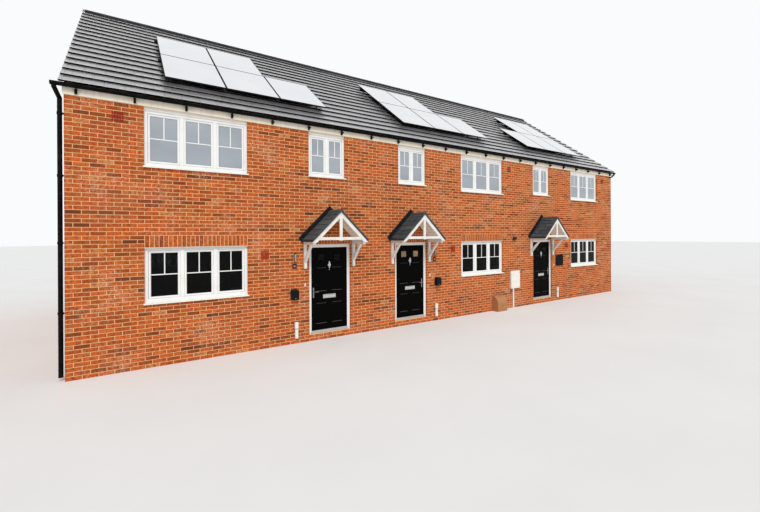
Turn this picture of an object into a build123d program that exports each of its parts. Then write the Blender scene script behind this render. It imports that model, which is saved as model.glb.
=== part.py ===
"""A terrace of three two-storey brick houses under one gabled roof.

Millimetres. +X runs along the front to the right, +Y runs to the back and +Z is up.
The origin is the middle of the base, at ground level. Places along the front are first
measured from the left corner of the brickwork, and depths from the front brick face.
"""

import os
from math import cos, radians, sin, tan

from build123d import *

# Brickwork
brick_length = 215
brick_height = 65
joint = 10
stretcher = brick_length + joint
course = brick_height + joint
bricks_along_front = 78

# Walls, floors and ceilings
row_length = bricks_along_front * stretcher - joint
row_depth = 9500
wall_thickness = 300
party_wall_thickness = 275
end_house_width = 5957.5
ground_floor_level = 190
upper_floor_level = 2790
upper_floor_thickness = 255
ceiling_level = 4960
ceiling_thickness = 112

# Openings
wide_window_width = 8 * stretcher + joint
narrow_window_width = 4 * stretcher + joint
wide_window_lefts = (1115, 8990, 14615)
narrow_window_lefts = (4265, 6740, 12365)
doorway_width = 1055
doorway_lefts = (4265, 6627.5, 12365)
doorway_level = 2 * course
ground_head_level = 30 * course - joint
ground_sill_level = 16 * course - joint
upper_head_level = 65 * course
wide_sill_level = 50 * course
narrow_sill_level = 51 * course

# Windows
window_reveal = 35
window_frame_depth = 70
window_frame_face = 62
window_mullion_face = 70
sash_face = 43
sash_setback = 8
head_trim_height = 60
head_trim_setback = 20
glass_thickness = 24
sill_thickness = 25
sill_projection = 45
sill_nose_drop = 10
sill_nose_thickness = 16
sill_horn = 18

# Doors
door_reveal = 50
door_frame_depth = 70
door_frame_face = 60
door_stop_width = 12
door_stop_depth = 18
threshold_height = 62
door_gap = 6
leaf_thickness = 44
hinge_pin_radius = 4
hinge_pin_clearance = 0.3
hinge_barrel_radius = 9
hinge_pin_setback = 12
hinge_height = 110
hinge_middle_height = 50
hinge_gap = 1
hinge_plate_reach = 44
hinge_plate_thickness = 4
hinge_end_distance = 200
panel_recess = 6
panel_bead = 14
door_pane_size = 180
door_pane_spacing = 400
door_pane_drop = 155
door_pane_thickness = 24
lower_panel_width = 290
lower_panel_base = 140
lower_panel_height = 520
upper_panel_base = 905
upper_panel_height = 595
letter_plate_width = 320
letter_plate_height = 90
letter_plate_level = 735
handle_level = 885
handle_inset = 62
handle_plate_width = 34
handle_plate_height = 240
handle_length = 120
handle_reach = 52
handle_neck_radius = 11
lever_height = 18
lever_thickness = 14
knocker_level = 1525
knocker_width = 72
knocker_height = 190
spyhole_radius = 11
spyhole_drop = 115
fitting_thickness = 8

# Main roof
roof_pitch = 34.5
eaves_overhang = 130
eaves_level = 5080
verge_overhang = 60
roof_courses = 17
tile_butt = 28
roof_build_up = 72
batten_setback = 102
ridge_tile_width = 230
ridge_tile_rise = 34
verge_apex_gap = 2
verge_trim_thickness = 6
verge_trim_drop = 95

# Eaves and rainwater goods
fascia_thickness = 25
fascia_height = 165
gutter_radius = 52
gutter_depth = 58
gutter_wall = 4
gutter_level = 5040
gutter_overrun = 170
gutter_bracket_spacing = 820
gutter_bracket_width = 26
gutter_bracket_lip = 5
downpipe_radius = 34
downpipe_offset = 64
downpipe_setback = 90
downpipe_foot = 60
neck_bend_drop = 25
neck_foot_drop = 165
collar_height = 45
collar_lip = 6
collar_levels = (1150, 2350, 3500, 4560)
clip_width = 90
clip_thickness = 8

# Solar panels
panel_width = 1150
panel_length = 1722
panel_thickness = 32
panel_gap = 20
panel_standoff = 65
array_base = 990
array_lefts = (1490, 7345, 12880)
upper_row_starts = (0, 0, 1)
rail_width = 38
rail_height = 40
rail_overrun = 55
rail_inset = 400
hook_width = 30
hook_spacing = 1050
hook_inset = 150

# Canopies over the doors
canopy_pitch = 45
canopy_half_width = 685
canopy_offsets = (511, 511, 475)
canopy_depth = 680
canopy_eaves_level = 2362
canopy_roof_thickness = 42
canopy_courses = 6
canopy_tile_butt = 8
canopy_ridge_width = 110
canopy_ridge_rise = 12
barge_width = 82
barge_thickness = 45
barge_setback = 25
king_post_width = 68
tie_beam_depth = 66
tie_beam_level = 2348
barge_foot_drop = 16
arm_width = 64
arm_height = 60
arm_offset = 612
wall_post_foot = 1698
strut_foot = 1830
strut_reach = 385
strut_width = 58
strut_heel = 81
strut_housing = 10
flashing_height = 80
flashing_overrun = 60
flashing_thickness = 14

# Fittings on the front wall
lantern_places = (3922, 7950)
lantern_level = 1960
lantern_width = 50
lantern_height = 220
lantern_reach = 100
lantern_foot_share = 0.6
lantern_cap_height = 30
lantern_cap_drop = 25
lantern_cap_lip = 6
lantern_cap_slope = 35
lantern_plate_width = 46
lantern_plate_height = 190
lantern_plate_rise = 10
lantern_plate_thickness = 12
lantern_arm_width = 16
lantern_arm_height = 14
lantern_arm_drop = 20
post_box_places = (3910, 8045)
post_box_level = 990
post_box_width = 175
post_box_height = 250
post_box_depth = 115
post_box_corner = 60
post_box_taper = 4
meter_box_left = 11150
meter_box_width = 440
meter_box_level = 647
meter_box_height = 583
meter_box_depth = 60
meter_pipe_radius = 28
meter_pipe_inset = 135
ground_box_left = 10310
ground_box_width = 430
ground_box_height = 490
ground_box_depth = 250
riser_places = (3950, 7990, 13700)
riser_radius = 39
riser_foot = 130
riser_top = 490
riser_cap_radius = 46
riser_cap_foot = 350
plaque_left = 13645
plaque_width = 450
plaque_level = 1275
plaque_height = 410
plaque_thickness = 20
security_light_place = 11350
security_light_level = 2305
security_light_width = 140
security_light_height = 120
security_light_depth = 90

# Worked-out places
roof_rise = tan(radians(roof_pitch))
ridge_level = eaves_level + (row_depth / 2 + eaves_overhang) * roof_rise
build_up_drop = roof_build_up / cos(radians(roof_pitch))
butt_drop = tile_butt / cos(radians(roof_pitch))
roof_reach = row_depth / 2 + eaves_overhang
course_run = roof_reach / roof_courses
batten_reach = roof_reach - batten_setback
batten_level = eaves_level + batten_setback * roof_rise
front = -row_depth / 2
back = row_depth / 2
left = -row_length / 2
right = row_length / 2
inner_left = left + wall_thickness
inner_right = right - wall_thickness
inner_front = front + wall_thickness
inner_back = back - wall_thickness
party_centres = (left + end_house_width, right - end_house_width)
leaf_width = doorway_width - 2 * door_frame_face - 2 * door_gap
leaf_base = doorway_level + threshold_height + door_gap
leaf_top = ground_head_level - door_frame_face - door_gap
leaf_height = leaf_top - leaf_base
leaf_front = front + door_reveal + door_stop_depth + door_gap
leaf_back = leaf_front + leaf_thickness

os.makedirs("parts", exist_ok=True)


def save(part, name):
    """Label a finished piece and write its STEP file."""
    part.part.label = name
    export_step(part.part, f"parts/{name}.step")


def along(place):
    """World X of a place measured from the left corner of the brickwork."""
    return left + place


def roof_underside(depth_from_face):
    """Height of the roof's underside at a distance in from the nearest long wall's face."""
    return eaves_level + (eaves_overhang + depth_from_face) * roof_rise - build_up_drop


def block(x0, x1, y0, y1, z0, z1, mode=Mode.ADD):
    """A box between two corners, added to or cut from the part being built."""
    with Locations(((x0 + x1) / 2, (y0 + y1) / 2, (z0 + z1) / 2)):
        Box(x1 - x0, y1 - y0, z1 - z0, mode=mode)


def cut_opening(place, width, base, head, y0, y1):
    """Cut one rectangular opening through a long wall."""
    block(along(place), along(place) + width, y0 - 1, y1 + 1, base, head, mode=Mode.SUBTRACT)


# Front wall, split beside the three doorways and at the band over their heads
ground_wall_ends = [0]
for doorway_left in doorway_lefts:
    ground_wall_ends += [doorway_left, doorway_left + doorway_width]
ground_wall_ends.append(row_length)
ground_wall_names = ("front_wall_left", "front_wall_pier", "front_wall_middle", "front_wall_right")

for number, name in enumerate(ground_wall_names):
    start = ground_wall_ends[2 * number]
    end = ground_wall_ends[2 * number + 1]
    with BuildPart() as ground_wall:
        with BuildSketch(Plane.XZ.offset(-front)) as face:
            with Locations((along((start + end) / 2), ground_head_level / 2)):
                Rectangle(end - start, ground_head_level)
            for window_left in wide_window_lefts:
                if start < window_left < end:
                    middle = along(window_left) + wide_window_width / 2
                    height = ground_head_level - ground_sill_level
                    with Locations((middle, ground_sill_level + height / 2)):
                        Rectangle(wide_window_width, height, mode=Mode.SUBTRACT)
        extrude(amount=-wall_thickness)
    save(ground_wall, name)


# Low stretches of wall under the front doors
with BuildPart() as threshold_walls:
    for doorway_left in doorway_lefts:
        x = along(doorway_left)
        block(x, x + doorway_width, front, inner_front, 0, doorway_level)
save(threshold_walls, "threshold_walls")


def long_wall_section(base, face_sign):
    """Cross-section of a long wall from a level up to the sloping underside of the roof."""
    face = face_sign * row_depth / 2
    inner = face - face_sign * wall_thickness
    with BuildSketch(Plane.YZ.offset(left)) as profile:
        with BuildLine():
            Polyline(
                (face, base),
                (inner, base),
                (inner, roof_underside(wall_thickness)),
                (face, roof_underside(0)),
                close=True,
            )
        make_face()
    extrude(profile.sketch, amount=row_length)


with BuildPart() as front_wall_upper:
    long_wall_section(ground_head_level, -1)
    for window_left in wide_window_lefts:
        cut_opening(window_left, wide_window_width, wide_sill_level, upper_head_level, front, inner_front)
    for window_left in narrow_window_lefts:
        cut_opening(
            window_left, narrow_window_width, narrow_sill_level, upper_head_level, front, inner_front
        )
save(front_wall_upper, "front_wall_upper")

# Rear wall, which repeats the front's openings
with BuildPart() as rear_wall_ground:
    block(left, right, inner_back, back, 0, ground_head_level)
    for window_left in wide_window_lefts:
        cut_opening(
            window_left, wide_window_width, ground_sill_level, ground_head_level + 1, inner_back, back
        )
    for doorway_left in doorway_lefts:
        cut_opening(
            doorway_left, doorway_width, doorway_level, ground_head_level + 1, inner_back, back
        )
save(rear_wall_ground, "rear_wall_ground")

with BuildPart() as rear_wall_upper:
    long_wall_section(ground_head_level, 1)
    for window_left in wide_window_lefts:
        cut_opening(window_left, wide_window_width, wide_sill_level, upper_head_level, inner_back, back)
    for window_left in narrow_window_lefts:
        cut_opening(
            window_left, narrow_window_width, narrow_sill_level, upper_head_level, inner_back, back
        )
save(rear_wall_upper, "rear_wall_upper")


def cross_wall(start, thickness):
    """A wall across the row, from the ground to the underside of both roof slopes."""
    with BuildSketch(Plane.YZ.offset(start)) as profile:
        with BuildLine():
            Polyline(
                (inner_front, 0),
                (inner_back, 0),
                (inner_back, roof_underside(wall_thickness)),
                (0, roof_underside(row_depth / 2)),
                (inner_front, roof_underside(wall_thickness)),
                close=True,
            )
        make_face()
    extrude(profile.sketch, amount=thickness)


# Gable walls between the long walls
with BuildPart() as left_gable_wall:
    cross_wall(left, wall_thickness)
save(left_gable_wall, "left_gable_wall")

with BuildPart() as right_gable_wall:
    cross_wall(inner_right, wall_thickness)
save(right_gable_wall, "right_gable_wall")

# Party walls between the houses
with BuildPart() as party_walls:
    for centre in party_centres:
        cross_wall(centre - party_wall_thickness / 2, party_wall_thickness)
save(party_walls, "party_walls")

# Rooms, one house after another
room_edges = [inner_left]
for centre in party_centres:
    room_edges += [centre - party_wall_thickness / 2, centre + party_wall_thickness / 2]
room_edges.append(inner_right)
rooms = [(room_edges[2 * number], room_edges[2 * number + 1]) for number in range(3)]


def floor_in_each_house(base, top):
    """One slab in each house, built in between its walls."""
    for room_left, room_right in rooms:
        block(room_left, room_right, inner_front, inner_back, base, top)


with BuildPart() as ground_floors:
    floor_in_each_house(0, ground_floor_level)
save(ground_floors, "ground_floors")

with BuildPart() as upper_floors:
    floor_in_each_house(upper_floor_level - upper_floor_thickness, upper_floor_level)
save(upper_floors, "upper_floors")

with BuildPart() as upper_ceilings:
    floor_in_each_house(ceiling_level, ceiling_level + ceiling_thickness)
save(upper_ceilings, "upper_ceilings")


def slope_section(side):
    """Section of one roof slope, with the stepped butts of its tile courses on top.

    Only the lowest tiles reach out over the gutter, and the battens stop behind it.
    """
    points = [(side * roof_reach, eaves_level - butt_drop)]
    for number in range(roof_courses):
        reach = roof_reach - number * course_run
        level = eaves_level + number * course_run * roof_rise
        points.append((side * reach, level))
        points.append((side * (reach - course_run), level + course_run * roof_rise - butt_drop))
    points.append((0, ridge_level - build_up_drop))
    points.append((side * batten_reach, batten_level - build_up_drop))
    points.append((side * batten_reach, batten_level - butt_drop))
    with BuildSketch(Plane.YZ.offset(left - verge_overhang)) as profile:
        with BuildLine():
            Polyline(*points, close=True)
        make_face()
    extrude(profile.sketch, amount=row_length + 2 * verge_overhang)


# Roof slopes
with BuildPart() as front_roof:
    slope_section(-1)
save(front_roof, "front_roof")

with BuildPart() as rear_roof:
    slope_section(1)
save(rear_roof, "rear_roof")

# Ridge tiles, an angled cap bedded on the highest course of both slopes
ridge_half = ridge_tile_width / 2
ridge_slope_drop = ridge_half * roof_rise
ridge_edge_bed = butt_drop * (1 - ridge_half / course_run)
with BuildPart() as ridge_tiles:
    with BuildSketch(Plane.YZ.offset(left - verge_overhang)):
        with BuildLine():
            Polyline(
                (0, ridge_level + ridge_tile_rise),
                (-ridge_half, ridge_level + ridge_tile_rise - ridge_slope_drop),
                (-ridge_half, ridge_level - ridge_slope_drop - ridge_edge_bed),
                (0, ridge_level - butt_drop),
                (ridge_half, ridge_level - ridge_slope_drop - ridge_edge_bed),
                (ridge_half, ridge_level + ridge_tile_rise - ridge_slope_drop),
                close=True,
            )
        make_face()
    extrude(amount=row_length + 2 * verge_overhang)
save(ridge_tiles, "ridge_tiles")

# Verge trims that cap the tile ends over the gables
verge_apex_level = ridge_level - verge_apex_gap * roof_rise
with BuildPart() as dry_verges:
    for end_face in (left - verge_overhang - verge_trim_thickness, right + verge_overhang):
        for side in (-1, 1):
            with BuildSketch(Plane.YZ.offset(end_face)):
                with BuildLine():
                    Polyline(
                        (side * roof_reach, eaves_level),
                        (side * roof_reach, eaves_level - butt_drop),
                        (side * batten_reach, batten_level - butt_drop),
                        (side * batten_reach, batten_level - verge_trim_drop),
                        (side * verge_apex_gap, verge_apex_level - verge_trim_drop),
                        (side * verge_apex_gap, verge_apex_level),
                        close=True,
                    )
                make_face()
            extrude(amount=verge_trim_thickness)
save(dry_verges, "dry_verges")


def fascia(face_sign):
    """Board along the top of a long wall, behind the gutter."""
    face = face_sign * row_depth / 2
    outer = face + face_sign * fascia_thickness
    y0, y1 = sorted((face, outer))
    overrun = fascia_thickness
    block(
        left - overrun, right + overrun, y0, y1, upper_head_level, upper_head_level + fascia_height
    )


with BuildPart() as fascias:
    fascia(-1)
    fascia(1)
save(fascias, "fascias")


def gutter_section(centre, outer_radius, lip_level):
    """Deep half-round section, open at the top, about a vertical centre line."""
    flat = gutter_depth - gutter_radius
    with BuildLine() as outline:
        Line((centre - outer_radius, lip_level), (centre - outer_radius, lip_level - flat))
        ThreePointArc(
            (centre - outer_radius, lip_level - flat),
            (centre, lip_level - flat - outer_radius),
            (centre + outer_radius, lip_level - flat),
        )
        Line((centre + outer_radius, lip_level - flat), (centre + outer_radius, lip_level))
        Line((centre + outer_radius, lip_level), (centre - outer_radius, lip_level))
    make_face(outline.edges())


def gutter(face_sign):
    """Gutter along a long wall with its stopped ends and the brackets that hold it."""
    centre = face_sign * (row_depth / 2 + fascia_thickness + gutter_radius + gutter_bracket_lip)
    start = left - gutter_overrun
    length = row_length + 2 * gutter_overrun
    bore = gutter_radius - gutter_wall
    with BuildSketch(Plane.YZ.offset(start)) as profile:
        gutter_section(centre, gutter_radius, gutter_level)
    extrude(profile.sketch, amount=length)
    count = int((row_length - gutter_bracket_width) // gutter_bracket_spacing) + 1
    spread = (count - 1) * gutter_bracket_spacing
    for number in range(count):
        place = -spread / 2 + number * gutter_bracket_spacing - gutter_bracket_width / 2
        with BuildSketch(Plane.YZ.offset(place)) as profile:
            gutter_section(centre, gutter_radius + gutter_bracket_lip, gutter_level)
        extrude(profile.sketch, amount=gutter_bracket_width)
    with BuildSketch(Plane.YZ.offset(start + gutter_wall)) as profile:
        gutter_section(centre, bore, gutter_level)
    extrude(profile.sketch, amount=length - 2 * gutter_wall, mode=Mode.SUBTRACT)


with BuildPart() as gutters:
    gutter(-1)
    gutter(1)
save(gutters, "gutters")

# Downpipes on the gable walls, each with a swan neck up to its gutter end
gutter_centre_offset = row_depth / 2 + fascia_thickness + gutter_radius + gutter_bracket_lip
outlet_level = gutter_level - gutter_depth
neck_top = gutter_level - gutter_depth + gutter_radius
neck_bend = outlet_level - neck_bend_drop
neck_foot = outlet_level - neck_foot_drop
with BuildPart() as downpipes:
    for end_sign in (-1, 1):
        for face_sign in (-1, 1):
            pipe_x = end_sign * (row_length / 2 + downpipe_offset)
            pipe_y = face_sign * (row_depth / 2 - downpipe_setback)
            outlet_x = end_sign * (row_length / 2 + gutter_overrun - gutter_radius)
            outlet_y = face_sign * gutter_centre_offset
            with BuildLine() as route:
                Polyline(
                    (outlet_x, outlet_y, neck_top),
                    (outlet_x, outlet_y, neck_bend),
                    (pipe_x, pipe_y, neck_foot),
                    (pipe_x, pipe_y, downpipe_foot),
                )
            with BuildSketch(Plane((outlet_x, outlet_y, neck_top), z_dir=(0, 0, -1))):
                Circle(downpipe_radius)
            sweep(path=route.line, transition=Transition.RIGHT)
            for level in collar_levels:
                with Locations((pipe_x, pipe_y, level)):
                    Cylinder(downpipe_radius + collar_lip, collar_height)
                wall_face = end_sign * row_length / 2
                x0, x1 = sorted((wall_face, pipe_x))
                clip_half = clip_width / 2
                block(
                    x0,
                    x1,
                    pipe_y - clip_half,
                    pipe_y + clip_half,
                    level - clip_thickness,
                    level + clip_thickness,
                )
    for face_sign in (-1, 1):
        with BuildSketch(Plane.YZ.offset(left - gutter_overrun)) as outline:
            gutter_section(face_sign * gutter_centre_offset, gutter_radius, gutter_level)
        extrude(
            outline.sketch, amount=row_length + 2 * gutter_overrun, mode=Mode.SUBTRACT
        )
save(downpipes, "downpipes")


def window_shape(window_left, width, base, head, lights, face_sign):
    """Frame with its mullions and the sashes set back in it."""
    height = head - base
    outer = face_sign * (row_depth / 2 - window_reveal)
    middle = along(window_left) + width / 2
    plane = Plane.XZ.offset(-outer)
    inward = face_sign * window_frame_depth
    clear = (width - 2 * window_frame_face - (lights - 1) * window_mullion_face) / lights
    pitch = clear + window_mullion_face
    with BuildSketch(plane) as profile:
        with Locations((middle, base + height / 2)):
            Rectangle(width, height)
            with GridLocations(pitch, 0, lights, 1):
                Rectangle(clear, height - 2 * window_frame_face, mode=Mode.SUBTRACT)
    extrude(profile.sketch, amount=inward)
    with BuildSketch(plane.offset(face_sign * sash_setback)) as profile:
        with Locations((middle, base + height / 2)):
            with GridLocations(pitch, 0, lights, 1):
                Rectangle(clear, height - 2 * window_frame_face)
                Rectangle(
                    clear - 2 * sash_face,
                    height - 2 * window_frame_face - 2 * sash_face,
                    mode=Mode.SUBTRACT,
                )
    extrude(profile.sketch, amount=inward - 2 * face_sign * sash_setback)


def window_glass(window_left, width, base, head, lights, face_sign):
    """One sealed unit in each sash."""
    height = head - base
    clear = (width - 2 * window_frame_face - (lights - 1) * window_mullion_face) / lights
    pitch = clear + window_mullion_face
    middle = along(window_left) + width / 2
    depth = window_reveal + window_frame_depth / 2
    with Locations((middle, face_sign * (row_depth / 2 - depth), base + height / 2)):
        with GridLocations(pitch, 0, lights, 1):
            Box(
                clear - 2 * sash_face,
                glass_thickness,
                height - 2 * window_frame_face - 2 * sash_face,
            )


def window_sill(window_left, width, base, face_sign):
    """Sill board under a frame, with a projecting nose that returns past the opening."""
    face = face_sign * row_depth / 2
    nose = face + face_sign * sill_projection
    inner = face - face_sign * (window_reveal + window_frame_depth)
    x0 = along(window_left)
    y0, y1 = sorted((face, inner))
    block(x0, x0 + width, y0, y1, base, base + sill_thickness)
    y0, y1 = sorted((face, nose))
    block(
        x0 - sill_horn, x0 + width + sill_horn, y0, y1, base - sill_nose_drop, base + sill_nose_thickness
    )


def head_trim(window_left, width, face_sign):
    """Board that closes the opening between an upper window and the fascia."""
    face = face_sign * (row_depth / 2 - head_trim_setback)
    inner = face_sign * (row_depth / 2 - window_reveal - window_frame_depth)
    y0, y1 = sorted((face, inner))
    x0 = along(window_left)
    block(x0, x0 + width, y0, y1, upper_head_level - head_trim_height, upper_head_level)


def window_list(storey):
    """Left edge, width, frame base, frame head and lights of each window on a storey."""
    if storey == "ground":
        base = ground_sill_level + sill_thickness
        return [(edge, wide_window_width, base, ground_head_level, 3) for edge in wide_window_lefts]
    head = upper_head_level - head_trim_height
    wide_base = wide_sill_level + sill_thickness
    narrow_base = narrow_sill_level + sill_thickness
    wide = [(edge, wide_window_width, wide_base, head, 3) for edge in wide_window_lefts]
    narrow = [(edge, narrow_window_width, narrow_base, head, 2) for edge in narrow_window_lefts]
    return wide + narrow


# Windows and their glass on both long walls
for side_name, face_sign in (("front", -1), ("rear", 1)):
    with BuildPart() as frames:
        for window in window_list("ground") + window_list("upper"):
            window_shape(*window, face_sign)
    save(frames, f"{side_name}_windows")
    with BuildPart() as glass:
        for window in window_list("ground") + window_list("upper"):
            window_glass(*window, face_sign)
    save(glass, f"{side_name}_glass")

with BuildPart() as window_trims:
    for face_sign in (-1, 1):
        for window_left, width, base, head, lights in window_list("ground") + window_list("upper"):
            window_sill(window_left, width, base - sill_thickness, face_sign)
        for window_left, width, base, head, lights in window_list("upper"):
            head_trim(window_left, width, face_sign)
save(window_trims, "window_trims")


def door_frame(doorway_left, face_sign):
    """Jambs and head with an outer stop, over a low threshold."""
    x0 = along(doorway_left)
    x1 = x0 + doorway_width
    middle = (x0 + x1) / 2
    height = ground_head_level - doorway_level
    outer = face_sign * (row_depth / 2 - door_reveal)
    plane = Plane.XZ.offset(-outer)
    clear = doorway_width - 2 * door_frame_face
    with BuildSketch(plane) as profile:
        with Locations((middle, doorway_level + height / 2)):
            Rectangle(doorway_width, height)
        with Locations((middle, doorway_level + (height - door_frame_face) / 2)):
            Rectangle(clear, height - door_frame_face, mode=Mode.SUBTRACT)
    extrude(profile.sketch, amount=face_sign * door_frame_depth)
    with BuildSketch(plane) as profile:
        with Locations((middle, doorway_level + (height - door_frame_face) / 2)):
            Rectangle(clear, height - door_frame_face)
        with Locations((middle, doorway_level + (height - door_frame_face - door_stop_width) / 2)):
            Rectangle(
                clear - 2 * door_stop_width,
                height - door_frame_face - door_stop_width,
                mode=Mode.SUBTRACT,
            )
    extrude(profile.sketch, amount=face_sign * door_stop_depth)
    y0, y1 = sorted((outer, outer - face_sign * door_frame_depth))
    block(
        x0 + door_frame_face,
        x1 - door_frame_face,
        y0,
        y1,
        doorway_level,
        doorway_level + threshold_height,
    )


def leaf_blank(doorway_left):
    """Leaf with two square pane holes and moulded panels on its outer face."""
    x0 = along(doorway_left) + door_frame_face + door_gap
    middle = x0 + leaf_width / 2
    plane = Plane.XZ.offset(-leaf_front)
    with BuildSketch(plane) as profile:
        with Locations((middle, leaf_base + leaf_height / 2)):
            Rectangle(leaf_width, leaf_height)
        with Locations((middle, leaf_top - door_pane_drop - door_pane_size / 2)):
            with GridLocations(door_pane_spacing, 0, 2, 1):
                Rectangle(door_pane_size, door_pane_size, mode=Mode.SUBTRACT)
    extrude(profile.sketch, amount=-leaf_thickness)
    for base, height in (
        (lower_panel_base, lower_panel_height),
        (upper_panel_base, upper_panel_height),
    ):
        with BuildSketch(plane) as profile:
            with Locations((middle, leaf_base + base + height / 2)):
                with GridLocations(door_pane_spacing, 0, 2, 1):
                    Rectangle(lower_panel_width, height)
                    Rectangle(
                        lower_panel_width - 2 * panel_bead,
                        height - 2 * panel_bead,
                        mode=Mode.SUBTRACT,
                    )
        extrude(profile.sketch, amount=-panel_recess, mode=Mode.SUBTRACT)


def door_fittings(doorway_left, handle_side):
    """Lever handles on both faces, a letter plate, a pointed knocker and a spyhole."""
    x0 = along(doorway_left) + door_frame_face + door_gap
    middle = x0 + leaf_width / 2
    handle_x = middle + handle_side * (leaf_width / 2 - handle_inset)
    level = leaf_base + handle_level
    half = handle_plate_width / 2
    rise = handle_plate_height / 2
    for face, outward in ((leaf_front, -1), (leaf_back, 1)):
        y0, y1 = sorted((face, face + outward * fitting_thickness))
        block(handle_x - half, handle_x + half, y0, y1, level - rise, level + rise)
        with BuildSketch(Plane.XZ.offset(-(face + outward * fitting_thickness))) as profile:
            with Locations((handle_x, level)):
                Circle(handle_neck_radius)
        extrude(profile.sketch, amount=-outward * (handle_reach - fitting_thickness))
        tip = face + outward * handle_reach
        y0, y1 = sorted((tip, tip - outward * lever_thickness))
        lever_end = handle_x - handle_side * handle_length
        lever_start = handle_x + handle_side * handle_neck_radius
        lever_x0, lever_x1 = sorted((lever_start, lever_end))
        lever_half = lever_height / 2
        block(lever_x0, lever_x1, y0, y1, level - lever_half, level + lever_half)
    plate_base = leaf_base + letter_plate_level
    plate_half = letter_plate_width / 2
    block(
        middle - plate_half,
        middle + plate_half,
        leaf_front - fitting_thickness,
        leaf_front,
        plate_base,
        plate_base + letter_plate_height,
    )
    knocker_z = leaf_base + knocker_level
    half_width = knocker_width / 2
    half_height = knocker_height / 2
    with BuildSketch(Plane.XZ.offset(-leaf_front)) as profile:
        with BuildLine():
            Polyline(
                (middle, knocker_z - half_height),
                (middle + half_width, knocker_z),
                (middle, knocker_z + half_height),
                (middle - half_width, knocker_z),
                close=True,
            )
        make_face()
        with Locations((middle, knocker_z - spyhole_drop)):
            Circle(spyhole_radius)
    extrude(profile.sketch, amount=fitting_thickness)


def hinge_axis(doorway_left, handle_side):
    """World X and Y of a front door's hinge pins, in the gap at the leaf's inner edge."""
    middle = along(doorway_left) + doorway_width / 2
    return (
        middle - handle_side * (leaf_width / 2 + door_gap / 2),
        leaf_back + hinge_pin_setback,
    )


def hinge_levels():
    """Heights of a leaf's three hinges."""
    low = leaf_base + hinge_end_distance
    high = leaf_top - hinge_end_distance
    return (low, (low + high) / 2, high)


def hinge_half(doorway_left, handle_side, face, toward, knuckles):
    """Plates flat on a face beside the pins, with a tab out to each of their knuckles."""
    pin_x, pin_y = hinge_axis(doorway_left, handle_side)
    near = pin_x + toward * (hinge_barrel_radius + hinge_gap)
    far = pin_x + toward * hinge_plate_reach
    x0, x1 = sorted((near, far))
    half = hinge_height / 2
    for level in hinge_levels():
        block(x0, x1, face, face + hinge_plate_thickness, level - half, level + half)
        for base, top in knuckles:
            x2, x3 = sorted((pin_x, near))
            tab = pin_y - hinge_barrel_radius + hinge_plate_thickness
            block(x2, x3, face, tab, level + base, level + top)
            with Locations((pin_x, pin_y, level + (base + top) / 2)):
                Cylinder(hinge_barrel_radius, top - base)


def frame_hinges(doorway_left, handle_side):
    """The jamb's half of each hinge, with the pin."""
    pin_x, pin_y = hinge_axis(doorway_left, handle_side)
    inner = hinge_middle_height / 2
    outer = hinge_height / 2
    face = front + door_reveal + door_frame_depth
    hinge_half(doorway_left, handle_side, face, -handle_side, ((-outer, -inner), (inner, outer)))
    for level in hinge_levels():
        with Locations((pin_x, pin_y, level)):
            Cylinder(hinge_pin_radius, hinge_height)


def leaf_hinges(doorway_left, handle_side):
    """The leaf's half of each hinge, bored for the pin."""
    pin_x, pin_y = hinge_axis(doorway_left, handle_side)
    inner = hinge_middle_height / 2 - hinge_gap
    hinge_half(doorway_left, handle_side, leaf_back, handle_side, ((-inner, inner),))
    for level in hinge_levels():
        with Locations((pin_x, pin_y, level)):
            Cylinder(hinge_pin_radius + hinge_pin_clearance, hinge_height, mode=Mode.SUBTRACT)


def door_panes(doorway_left):
    """Two square panes in a leaf."""
    x0 = along(doorway_left) + door_frame_face + door_gap
    middle = x0 + leaf_width / 2
    level = leaf_top - door_pane_drop - door_pane_size / 2
    with Locations((middle, (leaf_front + leaf_back) / 2, level)):
        with GridLocations(door_pane_spacing, 0, 2, 1):
            Box(door_pane_size, door_pane_thickness, door_pane_size)


# Front doors, the first hinged on its right and the others on their left
handle_sides = (-1, 1, 1)
for number, doorway_left in enumerate(doorway_lefts):
    with BuildPart() as frame:
        door_frame(doorway_left, -1)
    save(frame, f"door_{number + 1}_frame")
    with BuildPart() as leaf:
        leaf_blank(doorway_left)
    save(leaf, f"door_{number + 1}_leaf")
    with BuildPart() as panes:
        door_panes(doorway_left)
    save(panes, f"door_{number + 1}_panes")
    with BuildPart() as fittings:
        door_fittings(doorway_left, handle_sides[number])
        leaf_hinges(doorway_left, handle_sides[number])
    save(fittings, f"door_{number + 1}_fittings")

with BuildPart() as door_hinges:
    for doorway_left, handle_side in zip(doorway_lefts, handle_sides):
        frame_hinges(doorway_left, handle_side)
save(door_hinges, "door_hinges")

# Rear doors, plain and closed
with BuildPart() as rear_doors:
    for doorway_left in doorway_lefts:
        door_frame(doorway_left, 1)
        x0 = along(doorway_left) + door_frame_face
        y1 = back - door_reveal - door_stop_depth
        block(
            x0,
            x0 + doorway_width - 2 * door_frame_face,
            y1 - leaf_thickness,
            y1,
            doorway_level + threshold_height,
            ground_head_level - door_frame_face,
        )
save(rear_doors, "rear_doors")


def on_front_slope(distance, lift):
    """World Y and Z of a point up the front slope from the eaves, lifted square off the tiles."""
    angle = radians(roof_pitch)
    reach = -row_depth / 2 - eaves_overhang
    return (
        reach + distance * cos(angle) - lift * sin(angle),
        eaves_level + distance * sin(angle) + lift * cos(angle),
    )


def slope_plane(place, distance, lift):
    """Plane on the front slope: its x runs along the row and its y runs up the slope."""
    y, z = on_front_slope(distance, lift)
    angle = radians(roof_pitch)
    return Plane(origin=(along(place), y, z), x_dir=(1, 0, 0), z_dir=(0, -sin(angle), cos(angle)))


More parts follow.
